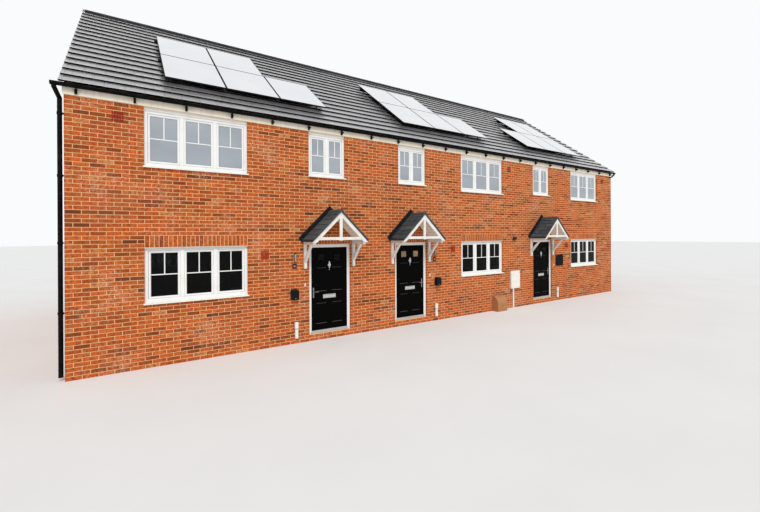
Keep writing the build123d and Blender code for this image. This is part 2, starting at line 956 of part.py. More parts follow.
# Solar panels, three in the lower row and two over them
panel_pitch = panel_width + panel_gap
row_pitch = panel_length + panel_gap
with BuildPart() as solar_panels:
    for array_left, upper_start in zip(array_lefts, upper_row_starts):
        for row, first, count in ((0, 0, 3), (1, upper_start, 2)):
            base = array_base + row * row_pitch
            for column in range(first, first + count):
                place = array_left + column * panel_pitch
                with BuildSketch(slope_plane(place, base, panel_standoff)):
                    Rectangle(panel_width, panel_length, align=(Align.MIN, Align.MIN))
                extrude(amount=panel_thickness)
save(solar_panels, "solar_panels")

# Rails under the panels, on hooks that reach down to the tiles
with BuildPart() as solar_rails:
    for array_left, upper_start in zip(array_lefts, upper_row_starts):
        for row, first, count in ((0, 0, 3), (1, upper_start, 2)):
            rail_start = array_left + first * panel_pitch - rail_overrun
            rail_length = count * panel_pitch - panel_gap + 2 * rail_overrun
            for inset in (rail_inset, panel_length - rail_inset):
                base = array_base + row * row_pitch + inset
                with BuildSketch(slope_plane(rail_start, base, panel_standoff)):
                    Rectangle(rail_length, rail_width, align=(Align.MIN, Align.MIN))
                extrude(amount=-rail_height)
                hook_spread = rail_length - 2 * hook_inset
                hook_count = int(hook_spread // hook_spacing) + 1
                hook_step = hook_spread / (hook_count - 1)
                for hook in range(hook_count):
                    place = rail_start + hook_inset + hook * hook_step - hook_width / 2
                    with BuildSketch(slope_plane(place, base, panel_standoff - rail_height)):
                        Rectangle(hook_width, rail_width, align=(Align.MIN, Align.MIN))
                    extrude(amount=-(panel_standoff - rail_height) - tile_butt)
    add(front_roof.part, mode=Mode.SUBTRACT)
save(solar_rails, "solar_rails")


canopy_centres = [along(left) + offset for left, offset in zip(doorway_lefts, canopy_offsets)]
canopy_rise = tan(radians(canopy_pitch))
canopy_ridge_level = canopy_eaves_level + canopy_half_width * canopy_rise
canopy_drop = canopy_roof_thickness / cos(radians(canopy_pitch))


def canopy_roof(centre):
    """Two tiled slopes meeting at a capped ridge, with a longer lead strip on the wall behind."""
    tile_run = canopy_half_width / canopy_courses
    butt = canopy_tile_butt / cos(radians(canopy_pitch))
    right_side = []
    for number in range(canopy_courses):
        reach = canopy_half_width - number * tile_run
        level = canopy_eaves_level + number * tile_run * canopy_rise
        right_side.append((reach, level))
        right_side.append((reach - tile_run, level + tile_run * canopy_rise - butt))
    left_side = [(-x, z) for x, z in reversed(right_side[:-1])]
    under = [
        (-canopy_half_width, canopy_eaves_level - canopy_drop),
        (0, canopy_ridge_level - canopy_drop),
        (canopy_half_width, canopy_eaves_level - canopy_drop),
    ]
    outline = [(centre + x, z) for x, z in right_side + left_side + under]
    cap_drop = canopy_ridge_width / 2 * canopy_rise
    cap_height = canopy_ridge_rise + cap_drop
    with BuildSketch(Plane.XZ.offset(-front)) as profile:
        with BuildLine():
            Polyline(*outline, close=True)
        make_face()
        with Locations((centre, canopy_ridge_level + canopy_ridge_rise - cap_height / 2)):
            Rectangle(canopy_ridge_width, cap_height)
    extrude(profile.sketch, amount=canopy_depth)
    lift = flashing_height / cos(radians(canopy_pitch))
    strip_reach = canopy_half_width + flashing_overrun
    strip_foot = canopy_eaves_level + lift - flashing_overrun * canopy_rise
    with BuildSketch(Plane.XZ.offset(-front)) as profile:
        with BuildLine():
            Polyline(
                (centre - canopy_half_width, canopy_eaves_level - canopy_drop),
                (centre - strip_reach, canopy_eaves_level),
                (centre - strip_reach, strip_foot),
                (centre, canopy_ridge_level + lift),
                (centre + strip_reach, strip_foot),
                (centre + strip_reach, canopy_eaves_level),
                (centre + canopy_half_width, canopy_eaves_level - canopy_drop),
                (centre, canopy_ridge_level - canopy_drop),
                close=True,
            )
        make_face()
    extrude(profile.sketch, amount=flashing_thickness)


# Canopy roofs
with BuildPart() as canopy_roofs:
    for centre in canopy_centres:
        canopy_roof(centre)
save(canopy_roofs, "canopy_roofs")


def canopy_frame(centre):
    """Open truss on two arms, each held off the wall by a post and a strut."""
    barge_drop = barge_width / cos(radians(canopy_pitch))
    barge_foot = canopy_eaves_level - canopy_drop - barge_foot_drop
    inner_foot = canopy_half_width - (barge_drop - barge_foot_drop) / canopy_rise
    truss_front = front - canopy_depth + barge_setback
    inner_apex = canopy_ridge_level - canopy_drop - barge_drop
    with BuildSketch(Plane.XZ.offset(-truss_front)) as profile:
        with BuildLine():
            Polyline(
                (centre - canopy_half_width, barge_foot),
                (centre - canopy_half_width, canopy_eaves_level - canopy_drop),
                (centre, canopy_ridge_level - canopy_drop),
                (centre + canopy_half_width, canopy_eaves_level - canopy_drop),
                (centre + canopy_half_width, barge_foot),
                (centre + inner_foot, barge_foot),
                (centre, inner_apex),
                (centre - inner_foot, barge_foot),
                close=True,
            )
        make_face()
    extrude(profile.sketch, amount=-barge_thickness)
    tie_half = inner_foot - (tie_beam_level - barge_foot) / canopy_rise
    tie_top_half = tie_half - tie_beam_depth / canopy_rise
    with BuildSketch(Plane.XZ.offset(-truss_front)) as profile:
        with BuildLine():
            Polyline(
                (centre - tie_half, tie_beam_level),
                (centre + tie_half, tie_beam_level),
                (centre + tie_top_half, tie_beam_level + tie_beam_depth),
                (centre - tie_top_half, tie_beam_level + tie_beam_depth),
                close=True,
            )
        make_face()
        post_top = inner_apex + king_post_width / 2
        with Locations((centre, (tie_beam_level + post_top) / 2)):
            Rectangle(king_post_width, post_top - tie_beam_level)
    extrude(profile.sketch, amount=-barge_thickness)
    for side in (-1, 1):
        inner_x = arm_offset - arm_width / 2
        outer_x = arm_offset + arm_width / 2
        under_eaves = canopy_eaves_level - canopy_drop
        arm_base = barge_foot - arm_height + barge_foot_drop
        with BuildSketch(Plane.XZ.offset(-front)) as profile:
            with BuildLine():
                Polyline(
                    (centre + side * inner_x, arm_base),
                    (centre + side * outer_x, arm_base),
                    (centre + side * outer_x, under_eaves + canopy_half_width - outer_x),
                    (centre + side * inner_x, under_eaves + canopy_half_width - inner_x),
                    close=True,
                )
            make_face()
        extrude(profile.sketch, amount=canopy_depth - barge_setback - barge_thickness)
        x0, x1 = sorted((centre + side * inner_x, centre + side * outer_x))
        block(x0, x1, front - arm_width, front, wall_post_foot, arm_base)
        with BuildSketch(Plane.YZ.offset(x0 + (arm_width - strut_width) / 2)) as profile:
            with BuildLine():
                Polyline(
                    (front - arm_width / 2, strut_foot),
                    (front - arm_width / 2, strut_foot + strut_heel),
                    (front - strut_reach, arm_base + strut_housing),
                    (front - strut_reach - strut_width, arm_base + strut_housing),
                    (front - arm_width, strut_foot),
                    close=True,
                )
            make_face()
        extrude(profile.sketch, amount=strut_width)


# Canopy frames
with BuildPart() as canopy_frames:
    for centre in canopy_centres:
        canopy_frame(centre)
save(canopy_frames, "canopy_frames")

# Lanterns beside two doors and a small floodlight over the meter box
with BuildPart() as wall_lights:
    for place in lantern_places:
        x = along(place)
        top = lantern_level + lantern_height / 2
        cap_base = top - lantern_cap_drop
        foot_width = lantern_width * lantern_foot_share
        cap_width = lantern_width + 2 * lantern_cap_lip
        axis_y = front - (lantern_reach + lantern_width / 2) / 2
        plate_half = lantern_plate_width / 2
        plate_middle = lantern_level + lantern_plate_rise
        block(
            x - plate_half,
            x + plate_half,
            front - lantern_plate_thickness,
            front,
            plate_middle - lantern_plate_height / 2,
            plate_middle + lantern_plate_height / 2,
        )
        arm_half = lantern_arm_width / 2
        arm_foot = top - lantern_arm_drop
        block(x - arm_half, x + arm_half, axis_y, front, arm_foot, arm_foot + lantern_arm_height)
        with BuildSketch(Plane.XY.offset(cap_base)):
            with Locations((x, axis_y)):
                Rectangle(lantern_width, lantern_width)
        with BuildSketch(Plane.XY.offset(top - lantern_height)):
            with Locations((x, axis_y)):
                Rectangle(foot_width, foot_width)
        loft()
        with BuildSketch(Plane.XY.offset(cap_base)):
            with Locations((x, axis_y)):
                Rectangle(cap_width, cap_width)
        extrude(amount=lantern_cap_height, taper=lantern_cap_slope)
    x = along(security_light_place)
    half_width = security_light_width / 2
    half_height = security_light_height / 2
    block(
        x - half_width,
        x + half_width,
        front - security_light_depth,
        front,
        security_light_level - half_height,
        security_light_level + half_height,
    )
save(wall_lights, "wall_lights")

# Wall boxes for post
with BuildPart() as post_boxes:
    for place in post_box_places:
        with BuildSketch(Plane.XZ.offset(-front)):
            with Locations((along(place), post_box_level + post_box_height / 2)):
                RectangleRounded(post_box_width, post_box_height, post_box_corner)
        extrude(amount=post_box_depth, taper=post_box_taper)
save(post_boxes, "post_boxes")

# White meter box with its pipe, and the three capped risers
with BuildPart() as meter_boxes:
    x = along(meter_box_left)
    block(
        x,
        x + meter_box_width,
        front - meter_box_depth,
        front,
        meter_box_level,
        meter_box_level + meter_box_height,
    )
    with Locations((x + meter_pipe_inset, front - meter_pipe_radius, meter_box_level / 2)):
        Cylinder(meter_pipe_radius, meter_box_level)
    for place in riser_places:
        with Locations((along(place), front - riser_cap_radius, (riser_foot + riser_top) / 2)):
            Cylinder(riser_radius, riser_top - riser_foot)
        with Locations((along(place), front - riser_cap_radius, (riser_cap_foot + riser_top) / 2)):
            Cylinder(riser_cap_radius, riser_top - riser_cap_foot)
save(meter_boxes, "meter_boxes")

# Half-sunk meter housing that stands against the wall
with BuildPart() as ground_meter_box:
    with BuildSketch(Plane.YZ.offset(along(ground_box_left))):
        with BuildLine():
            Line((front, 0), (front - ground_box_depth, 0))
            Line((front - ground_box_depth, 0), (front - ground_box_depth, ground_box_height / 2))
            EllipticalCenterArc(
                (front, ground_box_height / 2),
                ground_box_depth,
                ground_box_height / 2,
                start_angle=90,
                arc_size=90,
            )
            Line((front, ground_box_height), (front, 0))
        make_face()
    extrude(amount=ground_box_width)
save(ground_meter_box, "ground_meter_box")

# Blank plaque beside the third door
with BuildPart() as wall_plaque:
    block(
        along(plaque_left),
        along(plaque_left) + plaque_width,
        front - plaque_thickness,
        front,
        plaque_level,
        plaque_level + plaque_height,
    )
save(wall_plaque, "wall_plaque")
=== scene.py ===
"""Brickwork, tiling, joinery and finishes for a terrace of three two-storey houses.

Everything is in metres in the frame's own axes: +X along the front, +Y to the back, +Z up.
Pieces are shaped in the plain frame of one wall or slope and then turned into place.
"""

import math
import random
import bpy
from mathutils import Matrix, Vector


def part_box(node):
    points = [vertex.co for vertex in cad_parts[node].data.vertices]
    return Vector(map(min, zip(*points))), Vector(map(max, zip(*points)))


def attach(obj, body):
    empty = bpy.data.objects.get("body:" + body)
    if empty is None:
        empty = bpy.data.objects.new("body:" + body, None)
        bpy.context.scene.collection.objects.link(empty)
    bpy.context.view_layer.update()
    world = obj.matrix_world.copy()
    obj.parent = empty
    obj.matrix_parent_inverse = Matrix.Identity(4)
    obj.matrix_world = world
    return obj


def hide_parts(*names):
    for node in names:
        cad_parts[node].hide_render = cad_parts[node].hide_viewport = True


bl_info = {
    "name": "Brick Terrace Row",
    "version": (1, 0, 0),
    "blender": (4, 5, 0),
    "location": "View3D > Sidebar > Terrace",
    "description": "Dresses the solid frame of a terraced house row with bricks, tiles and joinery",
    "category": "Add Mesh",
}

import bmesh
import bpy
from bpy.props import FloatProperty, FloatVectorProperty, IntProperty, PointerProperty
from mathutils import Matrix, Vector

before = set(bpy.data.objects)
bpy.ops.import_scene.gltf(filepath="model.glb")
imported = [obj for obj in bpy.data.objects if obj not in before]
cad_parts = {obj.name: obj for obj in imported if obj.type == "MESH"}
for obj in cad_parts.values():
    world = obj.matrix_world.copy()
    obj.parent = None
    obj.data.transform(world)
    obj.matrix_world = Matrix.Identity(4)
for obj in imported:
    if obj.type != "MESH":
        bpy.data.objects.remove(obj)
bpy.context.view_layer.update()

# Corners of the brickwork, from the frame
wall_low, wall_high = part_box("front_wall_upper")
LEFT = wall_low.x
RIGHT = wall_high.x
FRONT = wall_low.y
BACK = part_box("rear_wall_upper")[1].y
ROW_LENGTH = RIGHT - LEFT
ROW_DEPTH = BACK - FRONT

# Openings, as distances from the left corner of the front and heights above the ground
WIDE_WINDOW_LEFTS = (1.115, 8.99, 14.615)
NARROW_WINDOW_LEFTS = (4.265, 6.74, 12.365)
DOORWAY_LEFTS = (4.265, 6.6275, 12.365)
HANDLE_SIDES = (-1, 1, 1)
WIDE_WINDOW = 1.81
NARROW_WINDOW = 0.91
DOORWAY = 1.055
GROUND_SILL = 1.19
GROUND_HEAD = 2.24
WIDE_SILL = 3.75
NARROW_SILL = 3.825
UPPER_HEAD = 4.875
DOORWAY_SILL = 0.15
WINDOW_REVEAL = 0.035
DOOR_REVEAL = 0.05
SILL_THICKNESS = 0.025
HEAD_TRIM = 0.06

# Roof, as in the frame
ROOF_PITCH = math.radians(34.5)
EAVES_LEVEL = 5.08
EAVES_OVERHANG = 0.13
VERGE_OVERHANG = 0.06
TILE_COURSES = 17
TILE_BUTT = 0.028
ROOF_BUILD_UP = 0.072
BATTEN_SETBACK = 0.123
SLOPE_LENGTH = (ROW_DEPTH / 2 + EAVES_OVERHANG) / math.cos(ROOF_PITCH)
TILED_LENGTH = ROW_LENGTH + 2 * VERGE_OVERHANG


# Shaping of meshes

# Edges that turn by more than this, in radians, get eased where a piece was cut to shape
CRISP_ANGLE = 0.4


class Draft:
    """A mesh being shaped from blocks, rings, rods and flat outlines."""

    def __init__(self):
        self.bm = bmesh.new()

    def block(self, low, high, ease=0.002, turn=None):
        """A block between any two far corners with eased edges, turned by a matrix if one is given."""
        middle = (Vector(low) + Vector(high)) / 2
        size = [abs(part) for part in Vector(high) - Vector(low)]
        place = Matrix.Translation(middle) @ Matrix.Diagonal((*size, 1.0))
        if turn is not None:
            place = turn @ place
        made = bmesh.ops.create_cube(self.bm, size=1.0, matrix=place)["verts"]
        if ease:
            self.ease(list({edge for vert in made for edge in vert.link_edges}), ease)

    def plate(self, x, z, width, height, near, far, ease=0.002):
        """A block about a place in the wall's plane, between two depths."""
        self.block((x - width / 2, near, z - height / 2), (x + width / 2, far, z + height / 2), ease)

    def ease(self, edges, offset):
        """Take the sharpness off some edges."""
        bmesh.ops.bevel(
            self.bm,
            geom=edges,
            offset=offset,
            offset_type="OFFSET",
            segments=1,
            profile=0.5,
            affect="EDGES",
            material=-1,
            clamp_overlap=True,
        )

    def outline(self, points, near, far, ease=0.0):
        """A flat outline in the wall's plane, drawn out in depth from near to far."""
        verts = [self.bm.verts.new((x, near, z)) for x, z in points]
        face = self.bm.faces.new(verts)
        grown = bmesh.ops.extrude_face_region(self.bm, geom=[face])["geom"]
        moved = [item for item in grown if isinstance(item, bmesh.types.BMVert)]
        bmesh.ops.translate(self.bm, vec=(0, far - near, 0), verts=moved)
        every = verts + moved
        faces = list({face for vert in every for face in vert.link_faces})
        bmesh.ops.recalc_face_normals(self.bm, faces=faces)
        if ease:
            self.ease(list({edge for vert in every for edge in vert.link_edges}), ease)

    def along_row(self, section, start, end, ease, mirror=1):
        """A section drawn in depth and height, run along the row, or mirrored to the front by -1."""
        part = Draft()
        part.outline(section, start, end, ease)
        part.turn(Matrix(((0, 1, 0, 0), (mirror, 0, 0, 0), (0, 0, 1, 0), (0, 0, 0, 1))))
        bmesh.ops.recalc_face_normals(part.bm, faces=part.bm.faces[:])
        self.take(part)

    def ring(self, low, high, face_depth, back_depth, steps):
        """A four-sided frame with a moulded face: each step is an inset and a rise of the face.

        low and high are the outer corners in the wall's plane, and depths are into the wall.
        """
        x0, z0 = low
        x1, z1 = high
        corners = ((x0, z0), (x1, z0), (x1, z1), (x0, z1))
        verts = [self.bm.verts.new((x, face_depth, z)) for x, z in corners]
        inner = self.bm.faces.new(verts)
        rim = []
        for inset, rise in steps:
            made = bmesh.ops.inset_individual(
                self.bm, faces=[inner], thickness=inset, depth=rise, use_even_offset=True
            )
            rim += made["faces"]
        bmesh.ops.delete(self.bm, geom=[inner], context="FACES_ONLY")
        rim = [face for face in rim if face.is_valid and face is not inner]
        grown = bmesh.ops.extrude_face_region(self.bm, geom=rim)["geom"]
        moved = [item for item in grown if isinstance(item, bmesh.types.BMVert)]
        for vert in moved:
            vert.co.y = back_depth
        faces = list({face for vert in moved for face in vert.link_faces} | set(rim))
        bmesh.ops.recalc_face_normals(self.bm, faces=[f for f in faces if f.is_valid])

    def ring_within(self, edges, inset, near, far, steps):
        """A ring inside left, right, lower and upper edges, or round them by a negative inset."""
        left, right, low, high = edges
        self.ring((left + inset, low + inset), (right - inset, high - inset), near, far, steps)

    def rod(self, start, end, radius, end_radius=None, segments=14):
        """A round bar or cone between two points."""
        start = Vector(start)
        end = Vector(end)
        along = end - start
        turn = along.to_track_quat("Z", "Y").to_matrix().to_4x4()
        place = Matrix.Translation((start + end) / 2) @ turn
        bmesh.ops.create_cone(
            self.bm,
            cap_ends=True,
            segments=segments,
            radius1=radius,
            radius2=radius if end_radius is None else end_radius,
            depth=along.length,
            matrix=place,
        )

    def stud(self, x, z, near, far, radius, end_radius=None, segments=14):
        """A round bar or cone that stands out of the wall at a place in its plane."""
        self.rod((x, near, z), (x, far, z), radius, end_radius, segments)

    def trim(self, point, normal):
        """Cut the whole draft by a plane, keep what lies behind it and close the cut."""
        geom = self.bm.verts[:] + self.bm.edges[:] + self.bm.faces[:]
        cut = bmesh.ops.bisect_plane(
            self.bm, geom=geom, plane_co=point, plane_no=normal, clear_outer=True, dist=1e-6
        )["geom_cut"]
        edges = [item for item in cut if isinstance(item, bmesh.types.BMEdge)]
        if edges:
            bmesh.ops.holes_fill(self.bm, edges=edges, sides=0)

    def take(self, other, place=None):
        """Add a copy of another draft's shape, moved by a matrix."""
        stencil = bpy.data.meshes.new("stencil")
        other.bm.to_mesh(stencil)
        if place is not None:
            stencil.transform(place)
        self.bm.from_mesh(stencil)
        bpy.data.meshes.remove(stencil)

    def stamp(self, stencils, copies):
        """Add one copy for each (stencil key, matrix), all from a few small drafts."""
        meshes = {}
        for key, place in copies:
            if key not in meshes:
                meshes[key] = bpy.data.meshes.new("stencil")
            stencils[key].bm.to_mesh(meshes[key])
            meshes[key].transform(place)
            self.bm.from_mesh(meshes[key])
        for mesh in meshes.values():
            bpy.data.meshes.remove(mesh)

    def tones(self, values, verts_each):
        """Give each stamped copy one number that its finish can read."""
        layer = self.bm.verts.layers.float.new("tone")
        for number, vert in enumerate(self.bm.verts):
            vert[layer] = values[number // verts_each]

    def turn(self, matrix):
        """Move everything drawn so far by a matrix."""
        self.bm.transform(matrix)

    def crisp(self):
        """Edges that turn by more than CRISP_ANGLE."""
        return [e for e in self.bm.edges if len(e.link_faces) == 2 and e.calc_face_angle() > CRISP_ANGLE]

    def finish(self, name, finish, slot, replaces=(), body="house"):
        """Make the draft an object that rides on a body."""
        mesh = bpy.data.meshes.new(name)
        self.bm.to_mesh(mesh)
        self.bm.free()
        mesh.materials.append(finish)
        piece = bpy.data.objects.new(name, mesh)
        bpy.context.scene.collection.objects.link(piece)
        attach(piece, body)
        if replaces:
            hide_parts(*replaces)


def drafts(count):
    """Several new drafts."""
    return [Draft() for number in range(count)]


def finish_all(place, *rows, body="house"):
    """Turn drafts into place and finish them: draft, name, finish, slot and any nodes they replace."""
    for draft, name, finish, slot, *replaced in rows:
        draft.turn(place)
        draft.finish(name, shared(finish), slot, replaced, body)


def wall_place(side):
    """Matrix from a wall's plain frame: x to the right as seen, y into the wall, z up."""
    if side == "front":
        return Matrix.Translation((LEFT, FRONT, 0))
    if side == "rear":
        return Matrix.Translation((RIGHT, BACK, 0)) @ Matrix.Rotation(math.pi, 4, "Z")
    if side == "left":
        return Matrix.Translation((LEFT, BACK, 0)) @ Matrix.Rotation(-math.pi / 2, 4, "Z")
    return Matrix.Translation((RIGHT, FRONT, 0)) @ Matrix.Rotation(math.pi / 2, 4, "Z")


def ridge_section(half, shoulder, foot, lip, hollow, flat, top):
    """Section of an angled ridge tile: half width, levels of shoulder and foot, then lip and crown."""
    right = [(half - lip, foot), (half, foot), (half, shoulder), (flat, top)]
    left = [(-x, z) for x, z in reversed(right)]
    return left[1:] + [(0.0, hollow)] + right + left[:1]


def slope_place(side):
    """Matrix from a roof slope's plain frame: x along the eaves, y up the slope, z off the tiles."""
    start = Matrix.Translation((-VERGE_OVERHANG, -EAVES_OVERHANG, EAVES_LEVEL))
    return wall_place(side) @ start @ Matrix.Rotation(ROOF_PITCH, 4, "X")


def seen_from(side, left, width):
    """Where an opening's left edge comes on a side, from its place along the front."""
    return left if side == "front" else ROW_LENGTH - left - width


def windows_of(side):
    """Left edge, right edge, frame base, frame head and number of lights of each window."""
    found = []
    for left in WIDE_WINDOW_LEFTS:
        start = seen_from(side, left, WIDE_WINDOW)
        end = start + WIDE_WINDOW
        found.append((start, end, GROUND_SILL + SILL_THICKNESS, GROUND_HEAD, 3))
        found.append((start, end, WIDE_SILL + SILL_THICKNESS, UPPER_HEAD - HEAD_TRIM, 3))
    for left in NARROW_WINDOW_LEFTS:
        start = seen_from(side, left, NARROW_WINDOW)
        end = start + NARROW_WINDOW
        found.append((start, end, NARROW_SILL + SILL_THICKNESS, UPPER_HEAD - HEAD_TRIM, 2))
    return found


# Finishes


def scaled(colour, amount):
    """A colour made darker or lighter."""
    return tuple(min(1.0, part * amount) for part in colour)


class Finish:
    """A material and short calls that wire its nodes together."""

    def __init__(self, name, roughness=0.5, metallic=0.0, specular=0.5):
        self.material = bpy.data.materials.new(name)
        self.material.use_nodes = True
        self.nodes = self.material.node_tree.nodes
        self.links = self.material.node_tree.links
        self.shader = self.nodes["Principled BSDF"]
        self.shader.inputs["Roughness"].default_value = roughness
        self.shader.inputs["Metallic"].default_value = metallic
        self.shader.inputs["Specular IOR Level"].default_value = specular
        self.place = self.nodes.new("ShaderNodeTexCoord").outputs["Object"]

    def link(self, value, socket):
        """Wire an output into a socket, or set the socket where the value is plain."""
        if isinstance(value, bpy.types.NodeSocket):
            self.links.new(value, socket)
        elif isinstance(value, tuple) and len(value) == 3 and len(socket.default_value) == 4:
            socket.default_value = (*value, 1.0)
        else:
            socket.default_value = value

    def maths(self, operation, first, second=0.0):
        """One Math node."""
        node = self.nodes.new("ShaderNodeMath")
        node.operation = operation
        self.link(first, node.inputs[0])
        self.link(second, node.inputs[1])
        return node.outputs[0]

    def axes(self, source=None):
        """The three parts of a vector, the surface's place unless another is given."""
        node = self.nodes.new("ShaderNodeSeparateXYZ")
        self.link(self.place if source is None else source, node.inputs[0])
        return node.outputs

    def stretched(self, scale):
        """Object coordinates scaled by a different amount along each axis."""
        node = self.nodes.new("ShaderNodeMapping")
        self.link(self.place, node.inputs["Vector"])
        node.inputs["Scale"].default_value = scale
        return node.outputs[0]

    def noise(self, scale, detail=3.0, roughness=0.55, vector=None):
        """Smooth noise between about 0.3 and 0.7."""
        node = self.nodes.new("ShaderNodeTexNoise")
        self.link(self.place if vector is None else vector, node.inputs["Vector"])
        node.inputs["Scale"].default_value = scale
        node.inputs["Detail"].default_value = detail
        node.inputs["Roughness"].default_value = roughness
        return node.outputs["Fac"]

    def ramp(self, factor, stops):
        """Colours or shades spread over a factor."""
        node = self.nodes.new("ShaderNodeValToRGB")
        self.link(factor, node.inputs[0])
        elements = node.color_ramp.elements
        while len(elements) < len(stops):
            elements.new(1.0)
        for element, (position, colour) in zip(elements, stops):
            element.position = position
            element.color = (*colour, 1.0)
        return node.outputs[0]

    def spread(self, factor, low, high, start=0.3, end=0.7):
        """A factor's range from start to end stretched between two numbers."""
        node = self.nodes.new("ShaderNodeMapRange")
        self.link(factor, node.inputs["Value"])
        node.inputs["From Min"].default_value = start
        node.inputs["From Max"].default_value = end
        node.inputs["To Min"].default_value = low
        node.inputs["To Max"].default_value = high
        return node.outputs[0]

    def blend(self, factor, first, second, kind="MIX"):
        """Two colours mixed."""
        node = self.nodes.new("ShaderNodeMix")
        node.data_type = "RGBA"
        node.blend_type = kind
        self.link(factor, node.inputs[0])
        self.link(first, node.inputs[6])
        self.link(second, node.inputs[7])
        return node.outputs[2]

    def attribute(self, name):
        """A number stored on the piece."""
        node = self.nodes.new("ShaderNodeAttribute")
        node.attribute_name = name
        return node.outputs["Fac"]

    def colour(self, value):
        """Set or wire the base colour."""
        self.link(value, self.shader.inputs["Base Color"])

    def roughness(self, value):
        """Set or wire the roughness."""
        self.link(value, self.shader.inputs["Roughness"])

    def graded(self, factor, stops, rough):
        """Colour along stops and roughness between two values, both by one factor."""
        self.colour(self.ramp(factor, stops))
        self.roughness(self.spread(factor, *rough))
        return self.material

    def tinted(self, factor, spread, body, tint):
        """A body colour with a tint laid over it by a factor's spread."""
        return self.blend(self.spread(factor, *spread), body, tint)

    def bump(self, height, distance):
        """Raise the surface a little by a height."""
        node = self.nodes.new("ShaderNodeBump")
        node.inputs["Strength"].default_value = 1.0
        node.inputs["Distance"].default_value = distance
        self.link(height, node.inputs["Height"])
        self.links.new(node.outputs[0], self.shader.inputs["Normal"])

    def weathered(self, colour, amount=0.12, scale=6.0, grain=120.0, depth=0.0004):
        """A plain colour with soft stains, fine grain and an uneven gloss."""
        dark = scaled(colour, 1 - amount)
        light = scaled(colour, 1 + amount * 0.6)
        stain = self.noise(scale, 5.0)
        fine = self.noise(grain, 2.0)
        mixed = self.maths("ADD", self.maths("MULTIPLY", stain, 0.7), self.maths("MULTIPLY", fine, 0.3))
        self.colour(self.ramp(mixed, ((0.35, dark), (0.5, colour), (0.65, light))))
        base = self.shader.inputs["Roughness"].default_value
        self.roughness(self.spread(stain, max(0.03, base - 0.1), min(1.0, base + 0.1)))
        self.bump(fine, depth)
        return self.material


def brick_finish(name):
    """Multi-coloured red facing brick: its own shade each, sanded and mottled."""
    look = bpy.context.scene.terrace_brick
    finish = Finish(name, roughness=0.9, specular=0.1)
    red = tuple(look.red)
    dark = tuple(look.dark)
    pale = tuple(look.pale)
    brown = scaled(red, 0.58)
    deep = scaled(red, 0.8)
    bright = scaled(red, 1.25)
    tone = finish.attribute("tone")
    shades = (dark, brown, deep, red, bright, red, pale, pale)
    body = finish.ramp(tone, tuple(zip((0.0, 0.12, 0.24, 0.4, 0.62, 0.86, 0.94, 1.0), shades)))
    mottle = finish.noise(20.0, 4.0, 0.7)
    creased = finish.noise(90.0, 3.0, 0.6, finish.stretched((1.0, 1.0, 2.4)))
    shaded = finish.tinted(mottle, (0.0, 1.0, 0.44, 0.62), body, finish.blend(0.72, body, dark))
    dusted = finish.tinted(creased, (0.0, 0.25, 0.5, 0.75), shaded, pale)
    stain = finish.noise(0.8, 4.0, 0.5, finish.stretched((1.0, 1.0, 1.8)))
    purple = tuple(look.purple)
    burnt = finish.tinted(stain, (0.0, 0.45, 0.52, 0.74), dusted, purple)
    salts = finish.maths("MULTIPLY", finish.noise(1.3, 5.0, 0.6), finish.noise(34.0, 3.0, 0.65))
    finish.colour(finish.tinted(salts, (0.0, 0.35, 0.3, 0.42), burnt, (0.74, 0.52, 0.38)))
    finish.roughness(finish.spread(creased, 0.82, 0.98))
    finish.bump(finish.maths("ADD", creased, finish.maths("MULTIPLY", finish.noise(300.0), 0.5)), 0.0012)
    return finish.material


def wall_finish(name):
    """Mortar on the outside of the walls and painted plaster within."""
    look = bpy.context.scene.terrace_brick
    finish = Finish(name, roughness=0.95, specular=0.2)
    x, y = finish.axes()[:2]
    reach_x = finish.maths("SUBTRACT", finish.maths("ABSOLUTE", x), RIGHT)
    reach_y = finish.maths("SUBTRACT", finish.maths("ABSOLUTE", y), BACK)
    outside = finish.maths("GREATER_THAN", finish.maths("MAXIMUM", reach_x, reach_y), -0.106)
    mortar = tuple(look.mortar)
    sandy = scaled(mortar, 0.8)
    grain = finish.noise(160.0, 3.0, 0.7)
    joint = finish.ramp(grain, ((0.35, sandy), (0.6, mortar)))
    mist = finish.noise(2.2, 4.0)
    plaster = finish.ramp(mist, ((0.35, (0.70, 0.68, 0.63)), (0.65, (0.78, 0.76, 0.71))))
    finish.colour(finish.blend(outside, plaster, joint))
    finish.roughness(finish.spread(grain, 0.88, 0.98))
    finish.bump(grain, 0.0009)
    return finish.material


def tile_finish(name):
    """Charcoal concrete roof tile, each a little different, with bloom and light lichen."""
    look = bpy.context.scene.terrace_roof
    finish = Finish(name, roughness=0.34, specular=1.0)
    finish.shader.inputs["Coat Weight"].default_value = 1.0
    finish.shader.inputs["Coat Roughness"].default_value = 0.2
    finish.shader.inputs["Coat IOR"].default_value = 1.7
    tile = tuple(look.tile)
    dark = scaled(tile, 0.72)
    bloom = tuple(part * 1.35 + 0.01 for part in tile)
    body = finish.ramp(finish.attribute("tone"), ((0.0, dark), (0.5, tile), (1.0, bloom)))
    patch = finish.noise(5.0, 6.0, 0.65)
    streak = finish.noise(14.0, 4.0, 0.6, finish.stretched((3.0, 0.6, 0.6)))
    speck = finish.noise(420.0, 2.0, 0.7)
    worn = finish.tinted(patch, (0.0, 0.45, 0.42, 0.72), body, bloom)
    washed = finish.tinted(streak, (0.0, 0.35, 0.45, 0.7), worn, dark)
    finish.colour(finish.tinted(speck, (0.0, 0.25, 0.5, 0.8), washed, bloom))
    finish.roughness(finish.spread(patch, 0.28, 0.42))
    finish.bump(finish.maths("ADD", speck, finish.maths("MULTIPLY", patch, 0.6)), 0.0003)
    return finish.material


